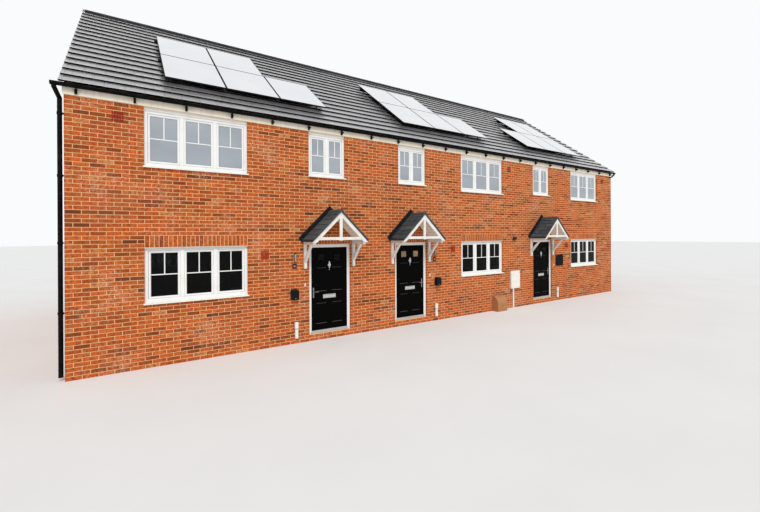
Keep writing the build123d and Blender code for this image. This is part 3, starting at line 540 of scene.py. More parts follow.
def ridge_dark(name):
    """Dark matt ridge tile, each a little different."""
    finish = Finish(name, roughness=0.75, specular=0.15)
    tone = finish.attribute("tone")
    body = finish.ramp(tone, ((0.0, (0.014, 0.014, 0.017)), (1.0, (0.030, 0.030, 0.036))))
    bloom = finish.noise(9.0, 5.0, 0.6)
    finish.colour(finish.tinted(bloom, (0.0, 0.4, 0.45, 0.7), body, (0.05, 0.05, 0.054)))
    finish.bump(finish.noise(300.0, 2.0), 0.0003)
    return finish.material


def plain_finish(colour, roughness, metallic=0.0, specular=0.3, **weather):
    """A maker of one weathered finish."""

    def make(name):
        return Finish(name, roughness, metallic, specular).weathered(colour, **weather)

    return make


def joinery_white(name):
    """White moulded window and door frame, faintly uneven and dusty in patches."""
    look = bpy.context.scene.terrace_joinery
    return Finish(name, 0.32).weathered(tuple(look.white), 0.05, 3.0, 60.0, 0.00015)


def eaves_white(name):
    """Warm white board under the gutters, with faint run marks."""
    look = bpy.context.scene.terrace_joinery
    finish = Finish(name, 0.4)
    board = tuple(look.board)
    dull = scaled(board, 0.84)
    runs = finish.noise(7.0, 4.0, 0.6, finish.stretched((3.0, 1.0, 0.25)))
    finish.bump(finish.noise(80.0), 0.0002)
    return finish.graded(runs, ((0.4, board), (0.75, dull)), (0.32, 0.5))


def rainwater_black(name):
    """Black moulded gutter and pipe with patches of dust."""
    finish = Finish(name, 0.38, specular=0.06)
    finish.bump(finish.noise(140.0), 0.0002)
    stops = ((0.45, (0.003, 0.003, 0.0035)), (0.8, (0.012, 0.0115, 0.011)))
    return finish.graded(finish.noise(9.0, 5.0), stops, (0.28, 0.5))


def dark_glass(name):
    """Clear sealed unit tinted near black as painted shade of the dim room, which also stands behind it."""
    finish = Finish(name, 0.02, specular=0.1)
    finish.shader.inputs["Transmission Weight"].default_value = 1.0
    finish.shader.inputs["IOR"].default_value = 1.2
    smear = finish.noise(2.5, 3.0, 0.5, finish.stretched((1.0, 1.0, 0.5)))
    # The dark tint is painted shade: clear glass would not darken what lies behind it.
    return finish.graded(smear, ((0.3, (0.06, 0.07, 0.065)), (0.7, (0.09, 0.10, 0.095))), (0.0, 0.03))


def door_glass(name):
    """Patterned glass of the small door panes, opaque, painted warm with the light of the hall behind it."""
    finish = Finish(name, 0.25, specular=0.3)
    ripple = finish.noise(38.0, 2.0, 0.5)
    # Painted light: warm patches stand in for the hall's light seen through the glass.
    hall_light_patches = finish.noise(9.0, 2.0)
    painted_hall_light = finish.ramp(hall_light_patches, ((0.3, (0.19, 0.11, 0.055)), (0.7, (0.36, 0.22, 0.12))))
    finish.colour(finish.tinted(ripple, (0.0, 0.3, 0.45, 0.65), painted_hall_light, (0.55, 0.42, 0.28)))
    finish.roughness(finish.spread(ripple, 0.12, 0.35))
    finish.bump(ripple, 0.002)
    return finish.material


def painted_sky_glass(name):
    """Coated glass with the sky's reflection painted into its pale blue-grey colour, a little uneven from
    pane to pane.
    """
    look = bpy.context.scene.terrace_joinery
    finish = Finish(name, 0.05, 0.72)
    glass = tuple(look.painted_sky_glass)
    low = scaled(glass, 0.82)
    # Painted reflection: the colour shifts slowly up the glass like a reflected sky.
    painted_sky_drift = finish.noise(0.7, 2.0, 0.5, finish.stretched((1.0, 1.0, 2.6)))
    finish.colour(finish.ramp(painted_sky_drift, ((0.35, low), (0.65, glass))))
    finish.roughness(finish.spread(finish.noise(3.0), 0.03, 0.1))
    return finish.material


def door_paint(name):
    """Black moulded door skin with a fine upright grain, and a painted highlight on its upward-facing ledges,
    lighter the more a face looks up.
    """
    finish = Finish(name, 0.32, specular=0.03)
    grain = finish.noise(30.0, 4.0, 0.6, finish.stretched((9.0, 9.0, 0.7)))
    black = finish.ramp(grain, ((0.35, (0.001, 0.001, 0.001)), (0.7, (0.0025, 0.0023, 0.0022))))
    # Painted highlight: faces that look up are lightened as if catching light from above.
    ledge_highlight = finish.spread(finish.attribute("ledge"), 0.0, 0.8, 0.1, 0.5)
    finish.colour(finish.blend(ledge_highlight, black, (0.085, 0.082, 0.078)))
    finish.roughness(finish.spread(grain, 0.24, 0.4))
    finish.bump(grain, 0.0004)
    return finish.material


def polished_metal(name):
    """Polished chrome with faint smears."""
    finish = Finish(name, 0.12, 1.0)
    stops = ((0.3, (0.60, 0.60, 0.61)), (0.7, (0.74, 0.74, 0.75)))
    return finish.graded(finish.noise(40.0, 4.0), stops, (0.08, 0.22))


def brushed_aluminium(name):
    """Mill-finished aluminium."""
    finish = Finish(name, 0.35, 0.9)
    grain = finish.noise(18.0, 4.0, 0.6, finish.stretched((0.3, 6.0, 6.0)))
    finish.bump(grain, 0.0002)
    return finish.graded(grain, ((0.3, (0.50, 0.50, 0.52)), (0.7, (0.66, 0.66, 0.68))), (0.28, 0.45))


def canopy_slate(name):
    """Small blue-black slate, a little uneven from piece to piece."""
    finish = Finish(name, 0.6, specular=0.15)
    body = finish.ramp(finish.attribute("tone"), ((0.0, (0.030, 0.040, 0.046)), (0.7, (0.074, 0.092, 0.101))))
    cloud = finish.noise(11.0, 5.0)
    finish.colour(finish.tinted(cloud, (0.0, 0.4, 0.45, 0.7), body, (0.11, 0.13, 0.14)))
    finish.roughness(finish.spread(cloud, 0.5, 0.7))
    finish.bump(finish.noise(70.0, 4.0, 0.6), 0.0005)
    return finish.material


def timber_white(name):
    """White-painted timber, with a faint grain under the paint and grubby patches."""
    finish = Finish(name, 0.42)
    grain = finish.noise(16.0, 5.0, 0.6, finish.stretched((5.0, 0.7, 5.0)))
    dirt = finish.noise(7.0, 5.0)
    paint = finish.ramp(dirt, ((0.42, (0.84, 0.82, 0.78)), (0.75, (0.66, 0.63, 0.57))))
    finish.colour(finish.tinted(grain, (0.0, 0.12, 0.5, 0.75), paint, (0.55, 0.50, 0.43)))
    finish.roughness(finish.spread(grain, 0.34, 0.55))
    finish.bump(grain, 0.0006)
    return finish.material


def lead_dark(name):
    """Dull dark lead with paler streaks."""
    finish = Finish(name, 0.7, specular=0.08)
    finish.bump(finish.noise(60.0), 0.0006)
    stops = ((0.4, (0.009, 0.0095, 0.011)), (0.75, (0.024, 0.025, 0.028)))
    return finish.graded(finish.noise(12.0, 5.0), stops, (0.6, 0.8))


def panel_frame(name):
    """Slim matt black frame of a solar panel."""
    finish = Finish(name, 0.7, specular=0.1)
    stops = ((0.3, (0.007, 0.007, 0.008)), (0.7, (0.016, 0.016, 0.017)))
    return finish.graded(finish.noise(30.0, 3.0), stops, (0.6, 0.8))


def solar_glass(name):
    """Panel glass painted pale as the sky's reflection, over faint cells and their thin lines."""
    look = bpy.context.scene.terrace_solar
    finish = Finish(name, 0.08, 0.8)
    uv = finish.nodes.new("ShaderNodeUVMap").outputs[0]
    u, v = finish.axes(uv)[:2]
    # The pale panel colour is a painted reflection of the sky.
    mirror = tuple(look.mirror)
    line = scaled(mirror, 0.96)

    def near_line(part, count):
        shifted = finish.maths("FRACT", finish.maths("MULTIPLY", part, float(count)))
        centred = finish.maths("ABSOLUTE", finish.maths("SUBTRACT", shifted, 0.5))
        return finish.maths("GREATER_THAN", centred, 0.485)

    across = near_line(u, look.cells_across)
    up = near_line(v, look.cells_up)
    grid = finish.maths("MAXIMUM", across, up)
    haze = finish.noise(1.1, 4.0)
    glass = finish.ramp(haze, ((0.35, scaled(mirror, 0.93)), (0.65, mirror)))
    finish.colour(finish.blend(grid, glass, line))
    finish.roughness(finish.spread(haze, 0.06, 0.14))
    return finish.material


def boards_finish(name):
    """Floor boards along the row, each a little different."""
    finish = Finish(name, 0.55)
    y = finish.axes()[1]
    row = finish.maths("FLOOR", finish.maths("DIVIDE", y, 0.14))
    shade = finish.nodes.new("ShaderNodeTexWhiteNoise")
    shade.noise_dimensions = "1D"
    finish.link(row, shade.inputs["W"])
    gap = finish.maths("LESS_THAN", finish.maths("FRACT", finish.maths("DIVIDE", y, 0.14)), 0.03)
    grain = finish.noise(11.0, 5.0, 0.6, finish.stretched((0.4, 9.0, 1.0)))
    wood = finish.ramp(shade.outputs[0], ((0.0, (0.27, 0.16, 0.085)), (1.0, (0.40, 0.26, 0.15))))
    streaked = finish.tinted(grain, (0.0, 0.5), wood, (0.19, 0.11, 0.06))
    finish.colour(finish.blend(gap, streaked, (0.05, 0.03, 0.02)))
    finish.roughness(finish.spread(grain, 0.45, 0.65))
    finish.bump(finish.maths("SUBTRACT", grain, gap), 0.001)
    return finish.material


FINISH_MAKERS = {
    "aged_brass": plain_finish((0.55, 0.36, 0.17), 0.4, 0.6, amount=0.2),
    "black_seal": plain_finish((0.012, 0.012, 0.013), 0.6),
    "box_black": plain_finish((0.004, 0.005, 0.008), 0.3, specular=0.15, amount=0.3),
    "box_brown": plain_finish((0.42, 0.19, 0.08), 0.55, amount=0.15),
    "box_white": plain_finish((0.83, 0.80, 0.73), 0.4, amount=0.07),
    "canopy_slate": canopy_slate,
    "dark_glass": dark_glass,
    "door_black": door_paint,
    "door_chrome": polished_metal,
    "door_glass": door_glass,
    "eaves_board": eaves_white,
    "facing_brick": brick_finish,
    "floor_boards": boards_finish,
    "handle_grey": plain_finish((0.27, 0.27, 0.28), 0.25, 1.0, specular=0.5, amount=0.15, scale=40.0),
    "joinery_white": joinery_white,
    "lantern_black": plain_finish((0.012, 0.012, 0.013), 0.42, amount=0.25),
    "lantern_glass": plain_finish((0.42, 0.36, 0.27), 0.12, amount=0.08),
    "lead_dark": lead_dark,
    "lining_cream": plain_finish((0.98, 0.91, 0.78), 0.5, amount=0.04),
    "lintel_cream": plain_finish((0.56, 0.50, 0.41), 0.5),
    "mortar_and_plaster": wall_finish,
    "painted_plaster": plain_finish(
        (0.76, 0.74, 0.70), 0.85, specular=0.5, amount=0.06, scale=2.0, grain=90.0, depth=0.0005
    ),
    "panel_frame": panel_frame,
    "plaque_black": plain_finish((0.006, 0.006, 0.007), 0.4, specular=0.05, amount=0.3),
    "plate_brown": plain_finish((0.02, 0.012, 0.009), 0.5, amount=0.2),
    "plate_tan": plain_finish((0.28, 0.20, 0.12), 0.6, amount=0.2),
    "rail_black": plain_finish((0.014, 0.014, 0.015), 0.6, specular=0.1),
    "rainwater_black": rainwater_black,
    "ridge_dark": ridge_dark,
    "roof_deck": plain_finish((0.016, 0.015, 0.014), 0.9, specular=0.05),
    "roof_tile_charcoal": tile_finish,
    "satin_metal": brushed_aluminium,
    "sill_cream": plain_finish((0.83, 0.81, 0.76), 0.35, amount=0.06),
    "painted_sky_glass": painted_sky_glass,
    "solar_back": plain_finish((0.008, 0.008, 0.009), 0.8, specular=0.1),
    "solar_glass": solar_glass,
    # Near-black matt strips under tile butts: painted shade, not a colour the tiles have.
    "painted_shade_black": plain_finish((0.004, 0.004, 0.004), 0.95, specular=0.0, amount=0.4),
    "timber_white": timber_white,
    "vent_clay": plain_finish((0.28, 0.014, 0.005), 0.8, amount=0.2, grain=200.0),
    "verge_black": plain_finish((0.022, 0.022, 0.024), 0.45, amount=0.3),
    "weep_brown": plain_finish((0.32, 0.075, 0.025), 0.8, amount=0.25, grain=200.0),
}
finishes = {}


def shared(name):
    """A finish that several pieces use, made once."""
    if name not in finishes:
        finishes[name] = FINISH_MAKERS[name](name)
    return finishes[name]


def coat(finish, *nodes):
    """Give nodes of the frame a finish."""
    for node in nodes:
        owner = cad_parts[node]
        if not owner.material_slots:
            owner.data.materials.append(shared(finish))
        for slot in owner.material_slots:
            slot.material = shared(finish)


# Brickwork

# Courses counted from the ground at which the openings start and end
DOOR_COURSE = 2
GROUND_SILL_COURSE = 16
HEAD_COURSE = 30
SOLDIER_TOP_COURSE = 33
WIDE_SILL_COURSE = 50
NARROW_SILL_COURSE = 51
TOP_COURSE = 65

# Depth of a brick slip behind the mortar's face, and of the bricks on end over an opening
SLIP_DEPTH = 0.008
SOLDIER_DEPTH = 0.055

# Laps of the slips round a corner and over a reveal, and the shortest piece worth laying
CORNER_LAP = 0.0035
REVEAL_LAP = 0.0015
SHORTEST_CUT = 0.03


def brick_stencil(length, depth, height, proud):
    """One brick from its middle, with its face at -proud and its face edges softened."""
    draft = Draft()
    draft.block((-length / 2, -proud, -height / 2), (length / 2, depth, height / 2), ease=0)
    draft.bm.edges.ensure_lookup_table()
    face_edges = [e for e in draft.bm.edges if all(v.co.y < 0 for v in e.verts)]
    draft.ease(face_edges, 0.0022)
    return draft


class Bond:
    """Stretcher-bond brickwork over one wall, cut round its openings."""

    def __init__(self, length, seed):
        look = bpy.context.scene.terrace_brick
        self.soldier = look.length
        self.joint = look.joint
        self.height = look.height
        self.course = look.height + look.joint
        self.proud = look.proud
        self.length = length
        count = round((length + self.joint) / (look.length + self.joint))
        self.module = (length + self.joint) / count
        self.random = random.Random(seed)
        self.stencils = {}
        self.copies = []
        self.shades = []
        self.dark_run = 0

    def shade(self):
        """The tone of one brick: mostly red, dark ones often in short runs, and a few pale."""
        pick = self.random.random()
        if self.dark_run > 0 and pick < 0.75:
            self.dark_run -= 1
            return self.random.uniform(0.0, 0.16)
        if pick < 0.03:
            self.dark_run = self.random.randint(1, 3)
            return self.random.uniform(0.0, 0.1)
        if pick < 0.2:
            return self.random.uniform(0.08, 0.3)
        if pick < 0.95:
            return self.random.uniform(0.3, 0.88)
        return self.random.uniform(0.88, 1.0)

    def lay(self, x0, x1, z0, z1, depth):
        """Lay one brick between two ends and two levels."""
        key = (round(x1 - x0, 4), round(depth, 4), round(z1 - z0, 4))
        if key not in self.stencils:
            self.stencils[key] = brick_stencil(*key, self.proud)
        lean = self.random.uniform(-0.0006, 0.0006)
        self.copies.append((key, Matrix.Translation(((x0 + x1) / 2, lean, (z0 + z1) / 2))))
        self.shades.append(self.shade())

    def course_of(self, number, shifted, holes):
        """Lay one course, round the holes that stand in it."""
        z0 = number * self.course
        z1 = z0 + self.height
        start = -self.module / 2 if shifted else 0.0
        while start < self.length - 0.02:
            parts = [(max(start, 0.0), min(start + self.module - self.joint, self.length))]
            for low, high, reveal in holes:
                kept = []
                for a, b in parts:
                    if b <= low + 1e-4 or a >= high - 1e-4:
                        kept.append((a, b))
                        continue
                    if low - a > SHORTEST_CUT:
                        kept.append((a, low))
                    if b - high > SHORTEST_CUT:
                        kept.append((high, b))
                parts = kept
            for a, b in parts:
                self.lay_cut(a, b, z0, z1, holes)
            start += self.module

    def lay_cut(self, a, b, z0, z1, holes):
        """Lay a brick, longer or deeper where it turns a corner or stands in a reveal."""
        depth = SLIP_DEPTH
        for low, high, reveal in holes:
            if reveal and abs(b - low) < 1e-3:
                b = low + REVEAL_LAP
                depth = reveal
            elif reveal and abs(a - high) < 1e-3:
                a = high - REVEAL_LAP
                depth = reveal
        if a < 1e-4:
            a = -CORNER_LAP
        if b > self.length - 1e-4:
            b = self.length + CORNER_LAP
        self.lay(a, b, z0, z1, depth)

    def soldiers(self, low, high):
        """A row of bricks on end over an opening of the ground storey."""
        level = HEAD_COURSE * self.course
        count = round((high - low - self.joint) / self.course)
        pitch = (high - low - self.joint) / count
        for number in range(count):
            x0 = low + self.joint + number * pitch
            self.lay(x0, x0 + pitch - self.joint, level, level + self.soldier, SOLDIER_DEPTH)

    def build(self):
        """One draft with every brick and its tone."""
        draft = Draft()
        draft.stamp(self.stencils, self.copies)
        each = len(next(iter(self.stencils.values())).bm.verts)
        draft.tones(self.shades, each)
        return draft


def long_wall_holes(side):
    """Openings of a long wall: left, right, first course, course above, depth of brick reveal."""
    window_reveal = WINDOW_REVEAL - 0.003
    door_reveal = DOOR_REVEAL - 0.003
    wide_rows = (
        (GROUND_SILL_COURSE, HEAD_COURSE, window_reveal),
        (HEAD_COURSE, SOLDIER_TOP_COURSE, None),
        (WIDE_SILL_COURSE, TOP_COURSE, window_reveal),
    )
    narrow_rows = ((NARROW_SILL_COURSE, TOP_COURSE, window_reveal),)
    door_rows = ((DOOR_COURSE, HEAD_COURSE, door_reveal), (HEAD_COURSE, SOLDIER_TOP_COURSE, None))
    holes = []
    for lefts, width, rows in (
        (WIDE_WINDOW_LEFTS, WIDE_WINDOW, wide_rows),
        (NARROW_WINDOW_LEFTS, NARROW_WINDOW, narrow_rows),
        (DOORWAY_LEFTS, DOORWAY, door_rows),
    ):
        for left in lefts:
            a = seen_from(side, left, width)
            holes += [(a, a + width, *row) for row in rows]
    return holes


class TERRACE_OT_brickwork(bpy.types.Operator):
    """Lay facing bricks over the four outer walls"""

    bl_idname = "terrace.brickwork"
    bl_label = "Lay Brickwork"

    def execute(self, context):
        for seed, side in enumerate(("front", "rear"), 11):
            bond = Bond(ROW_LENGTH, seed)
            holes = long_wall_holes(side)
            for course in range(TOP_COURSE):
                here = [(a, b, reveal) for a, b, low, high, reveal in holes if low <= course < high]
                bond.course_of(course, course % 2 == 1, here)
            for a, b, low, high, reveal in holes:
                if low == HEAD_COURSE:
                    bond.soldiers(a, b)
            finish_all(wall_place(side), (bond.build(), f"{side}_bricks", "facing_brick", "red_brick"))
        rise = math.tan(ROOF_PITCH)
        eaves = EAVES_LEVEL + EAVES_OVERHANG * rise - ROOF_BUILD_UP / math.cos(ROOF_PITCH) - 0.004
        top = eaves + ROW_DEPTH / 2 * rise
        for seed, side in enumerate(("left", "right"), 21):
            bond = Bond(ROW_DEPTH, seed)
            bond.proud += 0.0005
            for course in range(int(top / bond.course) + 1):
                narrowing = max(0.0, (course * bond.course - eaves) / rise)
                ends = [(-0.1, narrowing - 0.05, None), (ROW_DEPTH - narrowing + 0.05, ROW_DEPTH + 0.1, None)]
                bond.course_of(course, course % 2 == 0, ends if narrowing > 0.08 else [])
            draft = bond.build()
            for x, lean in ((0.0, -1.0), (ROW_DEPTH, 1.0)):
                draft.trim((x, 0, eaves), (lean * rise, 0, 1))
            finish_all(wall_place(side), (draft, f"{side}_gable_bricks", "facing_brick", "red_brick"))
        return {"FINISHED"}


# Lintel edges over the ground openings, and the toe that shows over the wide windows
LINTEL_FACE = -0.007
LINTEL_BACK = 0.05
LINTEL_END = 0.004
LINTEL_HEIGHT = 0.009
LINTEL_TOE = 0.014
LINTEL_TOE_BACK = 0.034

# Left edge and foot of each square vent and of each low weep vent, and their sizes
VENTS = ((0.643, 4.532), (11.043, 4.532), (16.743, 4.532), (3.193, 1.944), (8.573, 1.944), (14.253, 1.944))
VENT_WIDTH = 0.165
VENT_HEIGHT = 0.17
VENT_RIM = 0.014
VENT_BACK = 0.004
WEEP_VENT_LEFTS = (0.7875, 3.0375, 5.7375, 9.3375, 15.1875)
WEEP_VENT_FOOT = 0.375
WEEP_VENT_WIDTH = 0.215
WEEP_VENT_HEIGHT = 0.065


class TERRACE_OT_lintels_and_vents(bpy.types.Operator):
    """Fit the lintel edges over the ground openings and the air vents in the brickwork"""

    bl_idname = "terrace.lintels_and_vents"
    bl_label = "Fit Lintels and Vents"

    def execute(self, context):
        for side in ("front", "rear"):
            draft = Draft()
            for a, b, low, high, reveal in long_wall_holes(side):
                if low != HEAD_COURSE:
                    continue
                start = (a - LINTEL_END, LINTEL_FACE, GROUND_HEAD)
                draft.block(start, (b + LINTEL_END, LINTEL_BACK, GROUND_HEAD + LINTEL_HEIGHT), 0.0015)
                if b - a > 1.2 * DOORWAY:
                    start = (a + 0.002, LINTEL_FACE, GROUND_HEAD - LINTEL_TOE)
                    draft.block(start, (b - 0.002, LINTEL_TOE_BACK, GROUND_HEAD + 0.002), 0.0015)
            finish_all(wall_place(side), (draft, f"{side}_lintels", "lintel_cream", "fascia_white"))
        vents = Draft()
        for x, z in VENTS:
            rim = ((0.003, 0.003), (0.010, 0.0), (0.002, -0.004))
            vents.ring((x, z), (x + VENT_WIDTH, z + VENT_HEIGHT), -0.006, VENT_BACK, rim)
            end = x + VENT_WIDTH - VENT_RIM
            for number in range(6):
                bar = z + 0.024 + number * 0.023
                vents.block((x + VENT_RIM, -0.0075, bar), (end, VENT_BACK, bar + 0.011), 0.001)
            top = z + VENT_HEIGHT - VENT_RIM
            for number in range(3):
                bar = x + 0.037 + number * 0.0405
                vents.block((bar, -0.0065, z + VENT_RIM), (bar + 0.01, VENT_BACK, top), 0.001)
        weeps = Draft()
        z = WEEP_VENT_FOOT
        for x in WEEP_VENT_LEFTS:
            weeps.block((x, -0.006, z), (x + WEEP_VENT_WIDTH, VENT_BACK, z + WEEP_VENT_HEIGHT), 0.002)
            for number in range(7):
                slot = x + 0.022 + number * 0.026
                weeps.block((slot, -0.009, z + 0.008), (slot + 0.013, 0.0, z + 0.057), 0.001)
        finish_all(
            wall_place("front"),
            (vents, "wall_vents", "vent_clay", "red_brick"),
            (weeps, "weep_vents", "weep_brown", "red_brick"),
        )
        return {"FINISHED"}


# Roof

TILE_GAUGE = SLOPE_LENGTH / TILE_COURSES
TILE_TILT = math.atan2(TILE_BUTT, TILE_GAUGE)
TILE_THICKNESS = TILE_BUTT - 0.002
TILE_LAP = 0.05


class TERRACE_OT_roof_tiles(bpy.types.Operator):
    """Lay flat tiles in courses over both slopes, on a boarded deck, with near-black strips of painted shade
    under their butts
    """

    bl_idname = "terrace.roof_tiles"
    bl_label = "Lay Roof Tiles"

    def execute(self, context):
        look = context.scene.terrace_roof
        count = round(TILED_LENGTH / look.tile_width)
        pitch = TILED_LENGTH / count
        stencils = {}
        shade_strips = {}
        for key, share in (("full", 1.0), ("half", 0.5)):
            for lap_key, lap in (("lapped", TILE_LAP), ("top", -0.012)):
                draft = Draft()
                half = (pitch * share - look.tile_gap) / 2
                draft.block((-half, 0, -TILE_THICKNESS), (half, TILE_GAUGE + lap, 0), ease=0)
                edges = [e for e in draft.bm.edges if all(v.co.z > -1e-4 for v in e.verts)]
                draft.ease(edges, 0.0018)
                stencils[(key, lap_key)] = draft
                # A near-black strip under each tile's lower edge: painted shade standing in for the shadow at
                # the butt.
                shade_strip = Draft()
                low = (-half + 0.001, -0.0012, -TILE_THICKNESS - 0.001)
                shade_strip.block(low, (half - 0.001, 0.001, -0.0022), ease=0)
                shade_strips[(key, lap_key)] = shade_strip
        for seed, side in enumerate(("front", "rear"), 31):
            copies, shades = self.courses(random.Random(seed), count, pitch)
            tiles = Draft()
            tiles.stamp(stencils, copies)
            tiles.tones(shades, len(stencils[("full", "lapped")].bm.verts))
            # The butt strips of every tile, near black as painted shade.
            edges = Draft()
            edges.stamp(shade_strips, copies)
            deck = Draft()
            end = TILED_LENGTH - 0.004
            deck.block((0.004, BATTEN_SETBACK, -ROOF_BUILD_UP), (end, SLOPE_LENGTH - 0.03, -0.06), 0.002)
            deck.block((0.004, BATTEN_SETBACK - 0.03, -0.058), (end, BATTEN_SETBACK + 0.02, -0.037), 0.002)
            finish_all(
                slope_place(side),
                (tiles, f"{side}_roof_tiles", "roof_tile_charcoal", "roof_tile", f"{side}_roof"),
                (edges, f"{side}_tile_butt_painted_shade", "painted_shade_black", "roof_tile"),
                (deck, f"{side}_roof_deck", "roof_deck", "roof_tile"),
            )
        return {"FINISHED"}

    def courses(self, chance, count, pitch):
        """Places and shades of the tiles, with half tiles at the ends of every other course."""
        copies = []
        shades = []
        for course in range(TILE_COURSES):
            lap_key = "top" if course == TILE_COURSES - 1 else "lapped"
            starts = [(number * pitch, "full") for number in range(count)]
            if course % 2:
                starts = [(0.0, "half")]
                starts += [((number + 0.5) * pitch, "full") for number in range(count - 1)]
                starts.append(((count - 0.5) * pitch, "half"))
            for start, key in starts:
                width = pitch if key == "full" else pitch / 2
                lift = chance.uniform(-0.0008, 0.0)
                place = Matrix.Translation((start + width / 2, course * TILE_GAUGE, lift))
                skew = chance.uniform(-0.0016, 0.0016)
                place = place @ Matrix.Rotation(-TILE_TILT + skew, 4, "X")
                copies.append(((key, lap_key), place))
                shades.append(chance.random())
        return copies, shades


# Reach of a verge cap over the tiles and past their ends, and the levels of its foot and top
VERGE_LAP = 0.048
VERGE_OVERRUN = 0.006
VERGE_FOOT = -0.066
VERGE_TOP = 0.0045


class TERRACE_OT_ridge_and_verges(bpy.types.Operator):
    """Set the ridge tiles and the stepped verge caps along the gables"""

    bl_idname = "terrace.ridge_and_verges"
    bl_label = "Set Ridge and Verges"

    def execute(self, context):
        look = context.scene.terrace_roof
        low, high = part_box("ridge_tiles")
        half = high.y
        shoulder = high.z - half * math.tan(ROOF_PITCH)
        count = round((high.x - low.x) / look.ridge_tile_length)
        pitch = (high.x - low.x) / count
        section = ridge_section(
            half, shoulder - 0.002, shoulder - 0.052, 0.02, high.z - 0.04, 0.016, high.z - 0.011
        )
        turn = Matrix.Rotation(math.pi / 2, 4, "Z")
        stencil = Draft()
        stencil.outline(section, -pitch / 2 + 0.002, pitch / 2 - 0.002, ease=0.002)
        stencil.turn(turn)
        chance = random.Random(41)
        copies = []
        shades = []
        for number in range(count):
            middle = low.x + (number + 0.5) * pitch
            copies.append(("ridge", Matrix.Translation((middle, 0, chance.uniform(-0.002, 0.0)))))
            shades.append(chance.uniform(0.1, 0.6))
        ridge = Draft()
        ridge.stamp({"ridge": stencil}, copies)
        ridge.tones(shades, len(stencil.bm.verts))
        clips = Draft()
        clip = Draft()
        wide = [(x * 1.03, z + 0.004 if abs(x) < 0.05 else z) for x, z in section]
        clip.outline(wide, -0.014, 0.014, ease=0.001)
        clip.turn(turn)
        for number in range(1, count):
            clips.take(clip, Matrix.Translation((low.x + number * pitch, 0, 0)))
        caps = Draft()
        for side in ("front", "rear"):
            caps.take(self.verges(), slope_place(side))
        for x0 in (low.x - VERGE_OVERRUN, high.x - 0.044):
            cap = Draft()
            cap.outline([(x, z + 0.001) for x, z in section], x0, x0 + 0.05, ease=0.002)
            cap.turn(Matrix(((0, 1, 0, 0), (1, 0, 0, 0), (0, 0, 1, 0), (0, 0, 0, 1))))
            bmesh.ops.reverse_faces(cap.bm, faces=cap.bm.faces[:])
            caps.take(cap)
        caps.tones([0.5], len(caps.bm.verts))
        finish_all(
            Matrix(),
            (ridge, "ridge_tile_run", "ridge_dark", "roof_tile", "ridge_tiles"),
            (clips, "ridge_unions", "verge_black", "verge_plastic"),
            (caps, "verge_caps", "roof_tile_charcoal", "verge_plastic", "dry_verges"),
        )
        return {"FINISHED"}

    def verges(self):
        """Stepped caps up both ends of a slope, one for each course."""
        shape = Draft()
        end = TILED_LENGTH + VERGE_OVERRUN
        for x0, x1 in ((-VERGE_OVERRUN, VERGE_LAP), (TILED_LENGTH - VERGE_LAP, end)):
            lip = x0 if x0 < 0 else x1 - 0.004
            for course in range(TILE_COURSES):
                top = TILE_GAUGE + (0.012 if course < TILE_COURSES - 1 else -0.004)
                foot = 0.0 if course else BATTEN_SETBACK
                place = Matrix.Translation((0, course * TILE_GAUGE, 0)) @ Matrix.Rotation(-TILE_TILT, 4, "X")
                shape.block((x0, foot, VERGE_FOOT), (x1, top, VERGE_TOP), 0.003, place)
                low = (lip, foot + 0.006, VERGE_FOOT - 0.0015)
                shape.block(low, (lip + 0.004, top, -0.056), 0.001, place)
                if not course:
                    shape.block((x0, 0.0, -0.03), (x1, foot + 0.01, VERGE_TOP), 0.003, place)
        return shape


# Gutter unions: outer radius, half length, places along the row and axis behind the gutter's lip
UNION_RADIUS = 0.0565
UNION_HALF = 0.045
UNION_PLACES = (-6.6, -2.6, 2.6, 6.6)
UNION_AXIS = 0.057

# Gutter brackets: number, spacing, half width and the web from the board out under the gutter
BRACKET_COUNT = 22
BRACKET_SPACING = 0.82
BRACKET_HALF = 0.019
BRACKET_WEB = ((0.0, -0.150), (0.014, -0.150), (0.095, -0.112), (0.095, -0.100), (0.0, -0.050))
BOARD_THICKNESS = 0.025


class TERRACE_OT_rainwater(bpy.types.Operator):
    """Finish the fascias, gutters and downpipes and add the gutter unions and bracket webs"""

    bl_idname = "terrace.rainwater"
    bl_label = "Fit Rainwater Goods"

    def execute(self, context):
        coat("rainwater_black", "gutters", "downpipes")
        coat("eaves_board", "fascias")
        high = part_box("gutters")[1]
        centre = high.y - UNION_AXIS
        top = high.z
        section = [(centre - UNION_RADIUS, top)]
        for step in range(13):
            angle = math.pi * step / 12
            depth = top - 0.006 - UNION_RADIUS * math.sin(angle)
            section.append((centre - UNION_RADIUS * math.cos(angle), depth))
        section.append((centre + UNION_RADIUS, top))
        section += [(centre + (x - centre) * 0.86, top - (top - z) * 0.93) for x, z in reversed(section)]
        board = BACK + BOARD_THICKNESS
        web = [(board + x, top + z) for x, z in BRACKET_WEB]
        draft = Draft()
        for x in UNION_PLACES:
            for mirror in (1, -1):
                draft.along_row(section, x - UNION_HALF, x + UNION_HALF, 0.001, mirror)
        for number in range(BRACKET_COUNT):
            x = (number - (BRACKET_COUNT - 1) / 2) * BRACKET_SPACING
            for mirror in (1, -1):
                draft.along_row(web, x - BRACKET_HALF, x + BRACKET_HALF, 0.0015, mirror)
        finish_all(Matrix(), (draft, "gutter_unions", "rainwater_black", "rainwater_black"))
        return {"FINISHED"}


# Windows and doors

# Widths in view of sashes, frames and mullions, then how deep frames, sashes and panes stand
SASH_FACE = 0.043
FRAME_FACE = 0.062
MULLION_FACE = 0.07
FRAME_NEAR = WINDOW_REVEAL + 0.003
FRAME_FAR = WINDOW_REVEAL + 0.07
SASH_NEAR = WINDOW_REVEAL + 0.011
SASH_FAR = SASH_NEAR + 0.053
PANE_DEPTH = WINDOW_REVEAL + 0.023
PANE_THICKNESS = 0.024

